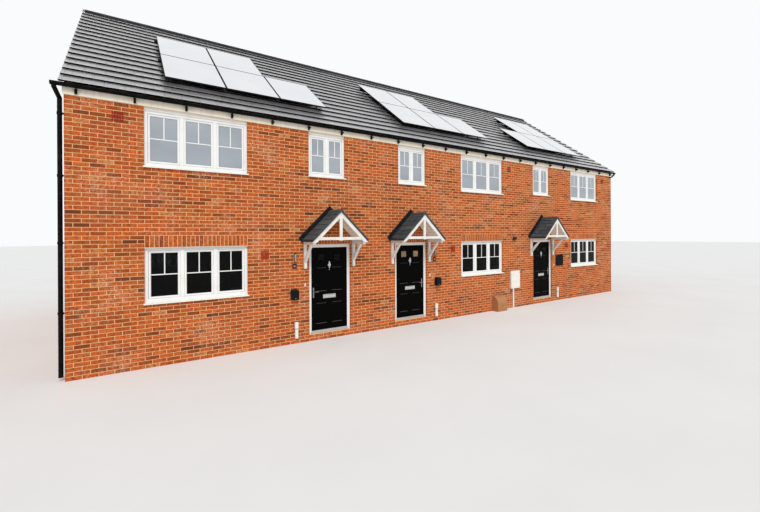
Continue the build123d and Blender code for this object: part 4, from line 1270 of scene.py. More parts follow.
# Mouldings, with an inset and a rise for each step
FRAME_MOULD = ((0.003, 0.003), (0.049, 0.0), (0.010, -0.006))
SASH_MOULD = ((0.004, 0.004), (0.024, 0.0), (0.010, -0.009), (0.003, 0.0))
OUTER_SEAL = ((0.003, 0.0),)
PANE_SEAL = ((0.0015, 0.0), (0.003, -0.002))


def lights_of(window):
    """Left and right of the clear part of each light."""
    start, end, base, head, lights = window
    clear = (end - start - 2 * FRAME_FACE - (lights - 1) * MULLION_FACE) / lights
    lefts = [start + FRAME_FACE + number * (clear + MULLION_FACE) for number in range(lights)]
    return [(left, left + clear) for left in lefts]


class TERRACE_OT_windows(bpy.types.Operator):
    """Make the window frames, sashes, bars, seals and panes on both long walls"""

    bl_idname = "terrace.windows"
    bl_label = "Fit Windows"

    def execute(self, context):
        bar = context.scene.terrace_joinery.glazing_bar
        inset = SASH_FACE - 0.004
        for side in ("front", "rear"):
            frames, seals, handles, dim_panes, sky_panes = drafts(5)
            for window in windows_of(side):
                start, end, base, head = window[:4]
                low = base + FRAME_FACE
                high = head - FRAME_FACE
                panes = dim_panes if head <= GROUND_HEAD else sky_panes
                frames.ring((start, base), (end, head), FRAME_NEAR, FRAME_FAR, FRAME_MOULD)
                edges = lights_of(window)
                for a in [edge[1] for edge in edges[:-1]]:
                    foot = (a, WINDOW_REVEAL + 0.0005, low - 0.004)
                    frames.block(foot, (a + MULLION_FACE, WINDOW_REVEAL + 0.069, high + 0.004), 0.004)
                for a, b in edges:
                    self.light(frames, seals, (a, b, low, high), bar)
                    foot = (a + inset, PANE_DEPTH, low + inset)
                    panes.block(foot, (b - inset, PANE_DEPTH + PANE_THICKNESS, high - inset), 0.001)
                    self.handle(handles, (a + b) / 2, low + 0.02)
            finish_all(
                wall_place(side),
                (frames, f"{side}_window_frames", "joinery_white", "frame_white", f"{side}_windows"),
                (seals, f"{side}_window_seals", "black_seal", "rainwater_black"),
                (handles, f"{side}_window_handles", "satin_metal", "rail_metal"),
                (dim_panes, f"{side}_lower_panes", "dark_glass", "clear_glass", f"{side}_glass"),
                (sky_panes, f"{side}_upper_panes", "painted_sky_glass", "clear_glass", f"{side}_glass"),
            )
        coat("sill_cream", "window_trims")
        return {"FINISHED"}

    def light(self, frames, seals, edges, bar):
        """One sash with its bead, black seals and the bars planted on the glass."""
        a, b, low, high = edges
        frames.ring_within(edges, 0.002, SASH_NEAR, SASH_FAR, SASH_MOULD)
        seals.ring_within(edges, 0.0005, SASH_NEAR + 0.0035, SASH_NEAR + 0.006, OUTER_SEAL)
        seals.ring_within(edges, SASH_FACE - 0.0025, SASH_NEAR + 0.0085, PANE_DEPTH + 0.0255, PANE_SEAL)
        middle = (low + high) / 2
        centre = (a + b) / 2
        half = bar / 2
        edge = SASH_FACE - 0.002
        for near, far in ((-0.009, 0.001), (PANE_THICKNESS - 0.001, PANE_THICKNESS + 0.009)):
            near += PANE_DEPTH
            far += PANE_DEPTH
            frames.block((a + edge, near, middle - half), (b - edge, far, middle + half), 0.003)
            foot = (centre - half, near, middle + half - 0.001)
            frames.block(foot, (centre + half, far, high - edge), 0.003)

    def handle(self, handles, x, level):
        """A locking handle on the inside of a sash."""
        back = WINDOW_REVEAL + 0.064
        low = level + 0.009
        high = level + 0.021
        handles.block((x - 0.015, back, level), (x + 0.015, back + 0.006, level + 0.03), 0.002)
        handles.block((x - 0.006, back + 0.004, low), (x + 0.006, back + 0.034, high), 0.002)
        handles.block((x - 0.006, back + 0.025, low), (x + 0.105, back + 0.035, high), 0.003)


# Door leaf, with the levels of its fittings and panels above its foot
LEAF_WIDTH = DOORWAY - 0.132
LEAF_BASE = 0.218
LEAF_TOP = 2.174
LEAF_FACE = DOOR_REVEAL + 0.024
LEAF_BACK = LEAF_FACE + 0.044
HANDLE_LEVEL = 0.885
HANDLE_INSET = 0.062
LETTER_PLATE_LEVEL = 0.735
KNOCKER_LEVEL = 1.525
KNOCKER_HALF = ((0.012, -0.06), (0.036, -0.012), (0.034, 0.018), (0.014, 0.05), (0.010, 0.075))
PANE_SIZE = 0.18
PANE_SPACING = 0.4
PANE_DROP = 0.155
PANE_LEVEL = LEAF_TOP - PANE_DROP - PANE_SIZE
DOOR_PANEL_WIDTH = 0.29
DOOR_PANELS = ((0.14, 0.52), (0.905, 0.595))
PANEL_MOULD = ((0.004, 0.0), (0.010, -0.006), (0.012, 0.0), (0.022, 0.005))
REBATE_MOULD = ((0.004, 0.0), (0.006, -0.007))
HINGE_INSET = 0.2

# Door frame: width and depth of its jambs, reach and back of its outer stop
JAMB_FACE = 0.06
JAMB_BACK = DOOR_REVEAL + 0.07
STOP_REACH = 0.072
STOP_BACK = DOOR_REVEAL + 0.018


def moulded_leaf(middle):
    """A door leaf with two small panes over four raised and fielded panels, on both faces."""
    draft = Draft()
    half = LEAF_WIDTH / 2
    draft.block((middle - half, LEAF_FACE, LEAF_BASE), (middle + half, LEAF_BACK, LEAF_TOP), ease=0)
    fields = []
    for column in (middle - PANE_SPACING / 2, middle + PANE_SPACING / 2):
        for base, height in DOOR_PANELS:
            low = LEAF_BASE + base
            fields.append((PANEL_MOULD, column, DOOR_PANEL_WIDTH / 2, low, low + height))
        fields.append((REBATE_MOULD, column, PANE_SIZE / 2, PANE_LEVEL, PANE_LEVEL + PANE_SIZE))
    cuts = {("x", round(c + s * w, 5)) for mould, c, w, low, high in fields for s in (-1, 1)}
    cuts |= {("z", round(level, 5)) for mould, c, w, low, high in fields for level in (low, high)}
    for axis, place in sorted(cuts):
        normal = Vector((1, 0, 0) if axis == "x" else (0, 0, 1))
        geom = draft.bm.verts[:] + draft.bm.edges[:] + draft.bm.faces[:]
        bmesh.ops.bisect_plane(draft.bm, geom=geom, plane_co=normal * place, plane_no=normal, dist=1e-6)

    def faces_near(column, width, low, high, outward):
        found = []
        for face in draft.bm.faces:
            centre = face.calc_center_median()
            if face.normal.y * outward > 0.9 and abs(centre.x - column) < width and low < centre.z < high:
                found.append(face)
        return found

    for mould, column, width, low, high in fields:
        for outward in (-1, 1):
            bmesh.ops.dissolve_faces(draft.bm, faces=faces_near(column, width, low, high, outward))
            field = faces_near(column, 0.001, low, high, outward)[0]
            for inset, rise in mould:
                bmesh.ops.inset_individual(draft.bm, faces=[field], thickness=inset, depth=rise)

    def on_rim(vert):
        return abs(abs(vert.co.x - middle) - half) < 1e-4 or vert.co.z > LEAF_TOP - 1e-4

    corners = [e for e in draft.bm.edges if len(e.link_faces) == 2 and e.calc_face_angle() > 1.4]
    draft.ease([e for e in corners if all(on_rim(vert) for vert in e.verts)], 0.002)
    draft.bm.normal_update()
    # How far each face looks up, which the door paint turns into a painted highlight.
    ledge = draft.bm.faces.layers.float.new("ledge")
    for face in draft.bm.faces:
        face[ledge] = max(0.0, face.normal.z)
    return draft


def leaf_panes(middle):
    """Two patterned panes set in the leaf, each in a slim cassette on both faces."""
    panes, cassettes = drafts(2)
    for side in (-1, 1):
        x = middle + side * PANE_SPACING / 2
        edges = (x - PANE_SIZE / 2, x + PANE_SIZE / 2, PANE_LEVEL, PANE_LEVEL + PANE_SIZE)
        foot = (edges[0] + 0.012, LEAF_FACE + 0.004, edges[2] + 0.012)
        panes.block(foot, (edges[1] - 0.012, LEAF_BACK - 0.004, edges[3] - 0.012), 0.001)
        for face, out in ((LEAF_FACE, 1), (LEAF_BACK, -1)):
            mould = ((0.004, 0.004 * out), (0.012, 0.0), (0.010, -0.005 * out))
            cassettes.ring_within(edges, -0.014, face - out * 0.002, face + out * 0.008, mould)
    return panes, cassettes


def leaf_furniture(middle, handle_side):
    """Handles on both faces, letter plate, knocker, spyhole and the leaf's half of each hinge."""
    draft, handles = drafts(2)
    x = middle + handle_side * (LEAF_WIDTH / 2 - HANDLE_INSET)
    level = LEAF_BASE + HANDLE_LEVEL
    for face, out in ((LEAF_FACE, -1), (LEAF_BACK, 1)):
        tip = face + out * 0.052
        handles.plate(x, level, 0.034, 0.24, face, face + out * 0.008, 0.003)
        handles.stud(x, level + 0.02, face + out * 0.007, tip - out * 0.002, 0.011, 0.0095)
        start = (x + handle_side * 0.01, tip, level + 0.011)
        handles.block(start, (x - handle_side * 0.12, tip - out * 0.014, level + 0.029), 0.0045)
        handles.stud(x, level - 0.06, face + out * 0.004, face + out * 0.013, 0.009)
        for screw in (-0.105, 0.105):
            handles.stud(x, level + screw, face + out * 0.006, face + out * 0.0095, 0.004)
    base = LEAF_BASE + LETTER_PLATE_LEVEL
    flap = ((0.003, 0.003), (0.012, 0.0), (0.003, -0.003))
    draft.ring((middle - 0.16, base), (middle + 0.16, base + 0.09), LEAF_FACE - 0.004, LEAF_FACE, flap)
    draft.plate(middle, base + 0.045, 0.29, 0.058, LEAF_FACE - 0.0075, LEAF_FACE - 0.001, 0.003)
    level = LEAF_BASE + KNOCKER_LEVEL
    points = [(0.0, -0.095), *KNOCKER_HALF, (0.0, 0.095)]
    points += [(-x, z) for x, z in reversed(KNOCKER_HALF)]
    shape = Draft()
    shape.outline([(middle + x, level + z) for x, z in points], LEAF_FACE - 0.009, LEAF_FACE, ease=0.0025)
    draft.take(shape)
    draft.stud(middle, level + 0.055, LEAF_FACE - 0.006, LEAF_FACE - 0.03, 0.011, 0.008)
    near = LEAF_FACE - 0.022
    for side in (-1, 1):
        top = (middle + side * 0.018, near, level + 0.05)
        draft.rod(top, (middle + side * 0.012, LEAF_FACE - 0.024, level - 0.04), 0.0045)
    draft.rod((middle - 0.02, near, level - 0.045), (middle + 0.02, near, level - 0.045), 0.009)
    draft.stud(middle, level - 0.115, LEAF_FACE - 0.001, LEAF_FACE - 0.007, 0.011, 0.009)
    x = middle - handle_side * (LEAF_WIDTH / 2 + 0.003)
    y = LEAF_BACK + 0.012
    low = LEAF_BASE + HINGE_INSET
    high = LEAF_TOP - HINGE_INSET
    for level in (low, (low + high) / 2, high):
        draft.rod((x, y, level - 0.0238), (x, y, level + 0.0238), 0.009)
        for near, far, start, end, half, ease in (
            (0.0, 0.004, 0.01, 0.044, 0.055, 0.001),
            (0.0005, 0.0065, 0.001, 0.0105, 0.0235, 0.0008),
        ):
            foot = (x + handle_side * start, LEAF_BACK + near, level - half)
            draft.block(foot, (x + handle_side * end, LEAF_BACK + far, level + half), ease)
    return draft, handles


def door_surround(start):
    """White jambs and head with an outer stop, for a doorway whose left edge is at start."""
    draft = Draft()
    end = start + DOORWAY
    near = DOOR_REVEAL
    lap = JAMB_FACE - 0.002
    for edge, way in ((start, 1), (end, -1)):
        draft.block((edge, near, DOORWAY_SILL), (edge + way * JAMB_FACE, JAMB_BACK, GROUND_HEAD), 0.003)
    foot = (start + lap, near + 0.0005, GROUND_HEAD - JAMB_FACE)
    draft.block(foot, (end - lap, JAMB_BACK - 0.0005, GROUND_HEAD), 0.003)
    top = GROUND_HEAD - lap
    for edge, way in ((start, 1), (end, -1)):
        foot = (edge + way * lap, near + 0.002, DOORWAY_SILL + 0.05)
        draft.block(foot, (edge + way * STOP_REACH, STOP_BACK, top), 0.002)
    foot = (start + 0.07, near + 0.002, GROUND_HEAD - STOP_REACH)
    draft.block(foot, (end - 0.07, STOP_BACK, top), 0.002)
    return draft


def threshold(start):
    """Low aluminium threshold with a raised weather bar."""
    draft = Draft()
    end = start + DOORWAY
    for inset, near, far, low, high, ease in (
        (0.058, -0.012, 0.07, 0.0, 0.045, 0.004),
        (0.06, 0.004, 0.066, 0.04, 0.062, 0.003),
        (0.062, 0.012, 0.018, 0.06, 0.0625, 0.0008),
        (0.062, 0.028, 0.034, 0.06, 0.0625, 0.0008),
        (0.062, 0.044, 0.05, 0.06, 0.0625, 0.0008),
    ):
        foot = (start + inset, DOOR_REVEAL + near, DOORWAY_SILL + low)
        draft.block(foot, (end - inset, DOOR_REVEAL + far, DOORWAY_SILL + high), ease)
    return draft


class TERRACE_OT_front_doors(bpy.types.Operator):
    """Make the three front doors, which turn on their hinges, and their surrounds"""

    bl_idname = "terrace.front_doors"
    bl_label = "Hang Front Doors"

    def execute(self, context):
        place = wall_place("front")
        for number, start in enumerate(DOORWAY_LEFTS):
            door = f"door_{number + 1}"
            middle = start + DOORWAY / 2
            light = "door_glass" if number == 1 else "dark_glass"
            panes, cassettes = leaf_panes(middle)
            furniture, handles = leaf_furniture(middle, HANDLE_SIDES[number])
            finish_all(
                place,
                (door_surround(start), f"{door}_surround", "joinery_white", "frame_white", f"{door}_frame"),
                (threshold(start), f"{door}_threshold", "satin_metal", "rail_metal"),
            )
            finish_all(
                place,
                (moulded_leaf(middle), f"{door}_moulded_leaf", "door_black", "door_black", f"{door}_leaf"),
                (panes, f"{door}_leaf_glass", light, "clear_glass", f"{door}_panes"),
                (cassettes, f"{door}_pane_cassettes", "door_black", "door_black"),
                (furniture, f"{door}_furniture", "door_chrome", "chrome", f"{door}_fittings"),
                (handles, f"{door}_handles", "handle_grey", "chrome", f"{door}_fittings"),
                body=door,
            )
        coat("satin_metal", "door_hinges")
        return {"FINISHED"}


class TERRACE_OT_rear_doors(bpy.types.Operator):
    """Make the three closed rear doors to match"""

    bl_idname = "terrace.rear_doors"
    bl_label = "Fit Rear Doors"

    def execute(self, context):
        surrounds, leaves, glass, metalwork = drafts(4)
        level = LEAF_BASE + HANDLE_LEVEL
        for start in DOORWAY_LEFTS:
            left = seen_from("rear", start, DOORWAY)
            middle = left + DOORWAY / 2
            surrounds.take(door_surround(left))
            metalwork.take(threshold(left))
            leaves.take(moulded_leaf(middle))
            panes, cassettes = leaf_panes(middle)
            leaves.take(cassettes)
            glass.take(panes)
            x = middle + LEAF_WIDTH / 2 - HANDLE_INSET
            metalwork.plate(x, level, 0.034, 0.24, LEAF_FACE - 0.008, LEAF_FACE, 0.003)
            metalwork.stud(x, level, LEAF_FACE - 0.006, LEAF_FACE - 0.05, 0.011, 0.0095)
            foot = (x - 0.12, LEAF_FACE - 0.052, level - 0.009)
            metalwork.block(foot, (x + 0.01, LEAF_FACE - 0.038, level + 0.009), 0.0045)
        finish_all(
            wall_place("rear"),
            (surrounds, "rear_door_surrounds", "joinery_white", "frame_white", "rear_doors"),
            (leaves, "rear_door_leaves", "door_black", "door_black", "rear_doors"),
            (glass, "rear_door_glass", "door_glass", "clear_glass"),
            (metalwork, "rear_door_metalwork", "satin_metal", "rail_metal"),
        )
        return {"FINISHED"}


# Canopies over the front doors

# Offset of each canopy's middle from its doorway's left edge, then sizes that all three share
CANOPY_OFFSETS = (0.511, 0.511, 0.475)
CANOPY_HALF = 0.685
CANOPY_DEPTH = 0.68
CANOPY_EAVES = 2.362
CANOPY_THICKNESS = 0.042
CANOPY_COURSES = 6
CANOPY_PITCH = math.radians(45)
CANOPY_RIDGE = CANOPY_EAVES + CANOPY_HALF
CANOPY_DROP = CANOPY_THICKNESS / math.cos(CANOPY_PITCH)
CANOPY_TILE_BUTT = 0.008
CANOPY_RIDGE_HALF = 0.055
CANOPY_RIDGE_RISE = 0.012
LINING_BOARDS = 8
BARGE_WIDTH = 0.082
BARGE_THICKNESS = 0.045
BARGE_SETBACK = 0.025
BARGE_FOOT = CANOPY_EAVES - CANOPY_DROP - 0.016
TIE_LEVEL = 2.348
TIE_DEPTH = 0.066
KING_POST_WIDTH = 0.068
ARM_OFFSET = 0.612
ARM_WIDTH = 0.064
ARM_BASE = BARGE_FOOT - 0.044
WALL_POST_FOOT = 1.698
STRUT_FOOT = 1.83
STRUT_REACH = 0.385
STRUT_WIDTH = 0.058
FLASHING_LIFT = 0.08 / math.cos(CANOPY_PITCH)
FLASHING_OVERRUN = 0.06


def canopy_slope(side):
    """Matrix from a canopy slope's plain frame: x out from the wall, y up the slope, z off it."""
    ahead = Matrix(((0, 0, 0, 0), (-1, 0, 0, 0), (0, 0, 0, 0), (0, 0, 0, 1)))
    up = Vector((-side, 0, 1)).normalized()
    off = Vector((side, 0, 1)).normalized()
    for row in range(3):
        ahead[row][1] = up[row]
        ahead[row][2] = off[row]
    ahead.translation = (side * CANOPY_HALF, 0, CANOPY_EAVES)
    return ahead


class TERRACE_OT_canopies(bpy.types.Operator):
    """Make the tiled canopies over the front doors and their timber frames"""

    bl_idname = "terrace.canopies"
    bl_label = "Build Canopies"

    def execute(self, context):
        tiles, shade_strips, lining, frames, flashing = drafts(5)
        shades = []
        for number, start in enumerate(DOORWAY_LEFTS):
            here = Matrix.Translation((start + CANOPY_OFFSETS[number], 0, 0))
            part, part_shade_strips, part_shades = self.tiles(number)
            tiles.take(part, here)
            shade_strips.take(part_shade_strips, here)
            shades += part_shades
            lining.take(self.lining(), here)
            frames.take(self.frame(), here)
            flashing.take(self.flashing(), here)
        tiles.tones(shades, 1)
        finish_all(
            wall_place("front"),
            (tiles, "canopy_tiles", "canopy_slate", "roof_tile", "canopy_roofs"),
            # Painted shade under the canopy tile butts.
            (shade_strips, "canopy_tile_butt_painted_shade", "painted_shade_black", "roof_tile"),
            (lining, "canopy_linings", "lining_cream", "canopy_timber"),
            (frames, "canopy_timbers", "timber_white", "canopy_timber", "canopy_frames"),
            (flashing, "canopy_flashings", "lead_dark", "verge_plastic"),
        )
        return {"FINISHED"}

    def tiles(self, seed):
        """Small flat tiles in courses on both slopes, the angled ridge pieces, and near-black strips of
        painted shade under the tile butts.
        """
        look = bpy.context.scene.terrace_roof
        chance = random.Random(51 + seed)
        gauge = CANOPY_HALF / math.cos(CANOPY_PITCH) / CANOPY_COURSES
        tilt = math.atan2(CANOPY_TILE_BUTT, gauge)
        count = round(CANOPY_DEPTH / look.canopy_tile_width)
        pitch = CANOPY_DEPTH / count
        draft, shade_strips = drafts(2)
        shades = []
        for side in (-1, 1):
            slope = canopy_slope(side)
            for course in range(CANOPY_COURSES):
                starts = [number * pitch for number in range(count)]
                if course % 2:
                    starts = [0.0] + [(number + 0.5) * pitch for number in range(count)]
                lap = 0.03 if course < CANOPY_COURSES - 1 else -0.004
                for index, x0 in enumerate(starts):
                    x1 = x0 + pitch
                    if course % 2 and index in (0, len(starts) - 1):
                        x1 = x0 + pitch / 2
                    place = slope @ Matrix.Translation((0, course * gauge, chance.uniform(-0.0008, 0)))
                    place = place @ Matrix.Rotation(-tilt, 4, "X")
                    before = len(draft.bm.verts)
                    draft.block((x0 + 0.001, 0, -0.009), (x1 - 0.001, gauge + lap, 0), 0.0016, place)
                    # Near-black strip at the tile's lower edge: painted shade under the butt.
                    shade_strips.block((x0 + 0.001, -0.001, -0.0095), (x1 - 0.001, 0.001, -0.0018), 0, place)
                    shades += [chance.random() * 0.7] * (len(draft.bm.verts) - before)
            deck = Draft()
            top = CANOPY_COURSES * gauge + 0.08
            foot = (0.002, -0.08, 0.003 - CANOPY_THICKNESS)
            deck.block(foot, (CANOPY_DEPTH - 0.002, top, -0.018), 0, slope)
            deck.block((CANOPY_DEPTH - 0.03, -0.08, -0.02), (CANOPY_DEPTH - 0.003, top, -0.009), 0, slope)
            deck.trim((side * (CANOPY_HALF - 0.003), 0, 0), (side, 0, 0))
            deck.trim((0, 0, 0), (-side, 0, 0))
            before = len(draft.bm.verts)
            draft.take(deck)
            shades += [0.1] * (len(draft.bm.verts) - before)
        before = len(draft.bm.verts)
        foot = CANOPY_RIDGE - CANOPY_RIDGE_HALF
        top = CANOPY_RIDGE + CANOPY_RIDGE_RISE
        shoulder = top - CANOPY_RIDGE_HALF - 0.002
        hollow = CANOPY_RIDGE - 0.012
        section = ridge_section(CANOPY_RIDGE_HALF, shoulder, foot - 0.004, 0.012, hollow, 0.008, top - 0.007)
        for number in range(2):
            near = -CANOPY_DEPTH / 2 * (number + 1)
            draft.outline(section, near + 0.001, near + CANOPY_DEPTH / 2 - 0.001, ease=0.002)
        shades += [0.35] * (len(draft.bm.verts) - before)
        return draft, shade_strips, shades

    def lining(self):
        """Boards on the underside of the canopy, behind its front edge."""
        draft = Draft()
        for side in (-1, 1):
            slope = canopy_slope(side)
            length = CANOPY_HALF / math.cos(CANOPY_PITCH)
            for board in range(LINING_BOARDS):
                y0 = 0.03 + board * (length - 0.06) / LINING_BOARDS
                y1 = y0 + (length - 0.06) / LINING_BOARDS - 0.004
                end = (CANOPY_DEPTH - BARGE_SETBACK - BARGE_THICKNESS, y1, 0.005 - CANOPY_THICKNESS)
                draft.block((0.001, y0, -CANOPY_THICKNESS), end, 0.002, slope)
        return draft

    def frame(self):
        """Bargeboards, king post and tie on two arms, with wall posts and struts."""
        whole = Draft()
        front = -CANOPY_DEPTH + BARGE_SETBACK
        apex = CANOPY_RIDGE - CANOPY_DROP
        for side in (-1, 1):
            barge = Draft()
            slope = canopy_slope(side)
            low = -CANOPY_THICKNESS - BARGE_WIDTH
            foot = (-front - BARGE_THICKNESS, -0.3, low)
            barge.block(foot, (-front, 1.4, -CANOPY_THICKNESS), 0, slope)
            barge.trim((0, 0, 0), (-side, 0, 0))
            barge.trim((0, 0, BARGE_FOOT), (0, 0, -1))
            barge.trim((side * CANOPY_HALF, 0, 0), (side, 0, 0))
            barge.ease(barge.crisp(), 0.004)
            whole.take(barge)
            self.side_frame(whole, side, front)
        drop = BARGE_WIDTH / math.cos(CANOPY_PITCH)
        inner_foot = CANOPY_HALF - (drop - 0.016)
        half = inner_foot - (TIE_LEVEL - BARGE_FOOT)
        top = half - TIE_DEPTH
        far = front + BARGE_THICKNESS - 0.002
        above = TIE_LEVEL + TIE_DEPTH
        tie = ((-half, TIE_LEVEL), (half, TIE_LEVEL), (top, above), (-top, above))
        whole.outline(tie, front + 0.003, far, ease=0.003)
        post = KING_POST_WIDTH / 2
        head = apex - drop + 0.012
        foot = above - 0.002
        king = ((-post, foot), (post, foot), (post, head - post), (0, head), (-post, head - post))
        whole.outline(king, front + 0.0035, far - 0.001, ease=0.003)
        wide = post + 0.012
        low = TIE_LEVEL - 0.012
        high = TIE_LEVEL + 0.004
        block = ((-wide, low), (wide, low), (wide, high), (-wide, high))
        whole.outline(block, front + 0.001, far, ease=0.003)
        return whole

    def side_frame(self, whole, side, front):
        """One arm back to the wall, with its wall post and diagonal strut."""
        inner = ARM_OFFSET - ARM_WIDTH / 2
        outer = ARM_OFFSET + ARM_WIDTH / 2
        under = CANOPY_EAVES - CANOPY_DROP
        arm = [
            (inner, ARM_BASE), (outer, ARM_BASE),
            (outer, under + CANOPY_HALF - outer - 0.002), (inner, under + CANOPY_HALF - inner - 0.002),
        ]
        whole.outline([(side * x, z) for x, z in arm], 0, front + BARGE_THICKNESS - 0.001, ease=0.003)
        x0, x1 = sorted((side * inner, side * outer))
        post = Draft()
        post.block((x0, -ARM_WIDTH, WALL_POST_FOOT), (x1, 0.0, ARM_BASE + 0.001), 0)
        post.ease(post.crisp(), 0.004)
        whole.take(post)
        foot = (x0 + 0.004, -ARM_WIDTH + 0.006, WALL_POST_FOOT - 0.012)
        whole.block(foot, (x1 - 0.004, 0, WALL_POST_FOOT + 0.002), 0.004)
        strut = Draft()
        side_view = (
            (ARM_WIDTH / 2, STRUT_FOOT + 0.01), (ARM_WIDTH / 2, STRUT_FOOT + 0.081),
            (STRUT_REACH, ARM_BASE + 0.004), (STRUT_REACH + STRUT_WIDTH, ARM_BASE + 0.004),
            (ARM_WIDTH, STRUT_FOOT),
        )
        strut.outline(side_view, -STRUT_WIDTH / 2, STRUT_WIDTH / 2, ease=0.004)
        strut.turn(Matrix(((0, 1, 0, side * ARM_OFFSET), (-1, 0, 0, 0), (0, 0, 1, 0), (0, 0, 0, 1))))
        whole.take(strut)

    def flashing(self):
        """Lead over the back of the slopes, in lapped lengths that run down past the eaves."""
        draft = Draft()
        top = CANOPY_HALF / math.cos(CANOPY_PITCH)
        reach = CANOPY_HALF + FLASHING_OVERRUN
        foot = CANOPY_EAVES + FLASHING_LIFT - FLASHING_OVERRUN
        for side in (-1, 1):
            corners = (
                (0, CANOPY_RIDGE + FLASHING_LIFT), (side * reach, foot), (side * reach, CANOPY_EAVES),
                (side * CANOPY_HALF, CANOPY_EAVES - CANOPY_DROP), (0, CANOPY_RIDGE - CANOPY_DROP),
            )
            for number in range(3):
                length = Draft()
                length.outline(corners, -0.0125 - 0.0005 * number, 0.002)
                length.trim((side * (reach * (number + 1) / 3 + 0.006), 0, 0), (side, 0, 0))
                length.trim((side * (reach * number / 3 - 0.006), 0, 0), (-side, 0, 0))
                length.ease(length.crisp(), 0.0012)
                draft.take(length)
            draft.block((0.004, 0.01, 0.0), (0.06, top - 0.01, 0.0035), 0.0015, canopy_slope(side))
        draft.block((-0.032, -0.05, CANOPY_RIDGE - 0.012), (0.032, 0.0, CANOPY_RIDGE + 0.05), 0.008)
        return draft


# Solar panels

# Left edge of each array, the column at which its upper row starts, and the panels' sizes and places
ARRAY_LEFTS = (1.49, 7.345, 12.88)
UPPER_ROW_STARTS = (0, 0, 1)
ARRAY_BASE = 0.99
PANEL_WIDTH = 1.15
PANEL_LENGTH = 1.722
PANEL_GAP = 0.02
PANEL_LOW = 0.065
PANEL_HIGH = PANEL_LOW + 0.032
PANEL_BORDER = 0.011
PANEL_RIM = ((0.0015, 0.0015), (0.009, 0.0), (0.001, -0.002))


class TERRACE_OT_solar_panels(bpy.types.Operator):
    """Make the framed solar panels on the front slope"""

    bl_idname = "terrace.solar_panels"
    bl_label = "Fit Solar Panels"

    def execute(self, context):
        frames, panes, backs = drafts(3)
        panes.bm.loops.layers.uv.new("UVMap")
        flat = Matrix(((1, 0, 0, 0), (0, 0, 1, 0), (0, -1, 0, 0), (0, 0, 0, 1)))
        size = Matrix.Diagonal((PANEL_WIDTH / 2 - PANEL_BORDER, PANEL_LENGTH / 2 - PANEL_BORDER, 1, 1))
        for array_left, upper_start in zip(ARRAY_LEFTS, UPPER_ROW_STARTS):
            for row, first, count in ((0, 0, 3), (1, upper_start, 2)):
                y0 = ARRAY_BASE + row * (PANEL_LENGTH + PANEL_GAP)
                y1 = y0 + PANEL_LENGTH
                for column in range(first, first + count):
                    x0 = array_left + VERGE_OVERHANG + column * (PANEL_WIDTH + PANEL_GAP)
                    x1 = x0 + PANEL_WIDTH
                    one = Draft()
                    one.ring((x0, y0), (x1, y1), -PANEL_HIGH + 0.0015, -PANEL_LOW, PANEL_RIM)
                    one.turn(flat)
                    frames.take(one)
                    middle = (x0 + PANEL_WIDTH / 2, y0 + PANEL_LENGTH / 2, PANEL_HIGH - 0.002)
                    place = Matrix.Translation(middle) @ size
                    bmesh.ops.create_grid(
                        panes.bm, x_segments=1, y_segments=1, size=1.0, matrix=place, calc_uvs=True
                    )
                    foot = (x0 + 0.01, y0 + 0.01, PANEL_HIGH - 0.009)
                    backs.block(foot, (x1 - 0.01, y1 - 0.01, PANEL_HIGH - 0.003), 0.001)
                    foot = (x0 + 0.45, y0 + 1.45, PANEL_LOW + 0.004)
                    backs.block(foot, (x0 + 0.68, y0 + 1.55, PANEL_HIGH - 0.008), 0.003)
        finish_all(
            slope_place("front"),
            (frames, "solar_frames", "panel_frame", "pv_glass", "solar_panels"),
            (panes, "solar_faces", "solar_glass", "pv_glass", "solar_panels"),
            (backs, "solar_backs", "solar_back", "pv_glass"),
        )
        coat("rail_black", "solar_rails")
        return {"FINISHED"}


# Fittings on the front wall

# Places along the front, with levels and distances from the wall
LANTERN_PLACES = (3.922, 7.95)
LANTERN_FOOT = 1.85
LANTERN_TOP = 2.07
LANTERN_AXIS = -0.0625
FLOODLIGHT_PLACE = 11.35
FLOODLIGHT_LEVEL = 2.305
POST_BOX_PLACES = (3.91, 8.045)
BELL_PLACES = (4.165, 7.785, 13.52)
RISER_PLACES = (3.95, 7.99, 13.7)
RISER_AXIS = -0.046
METER_BOX_LEFT = 11.15
METER_BOX_RIGHT = 11.59


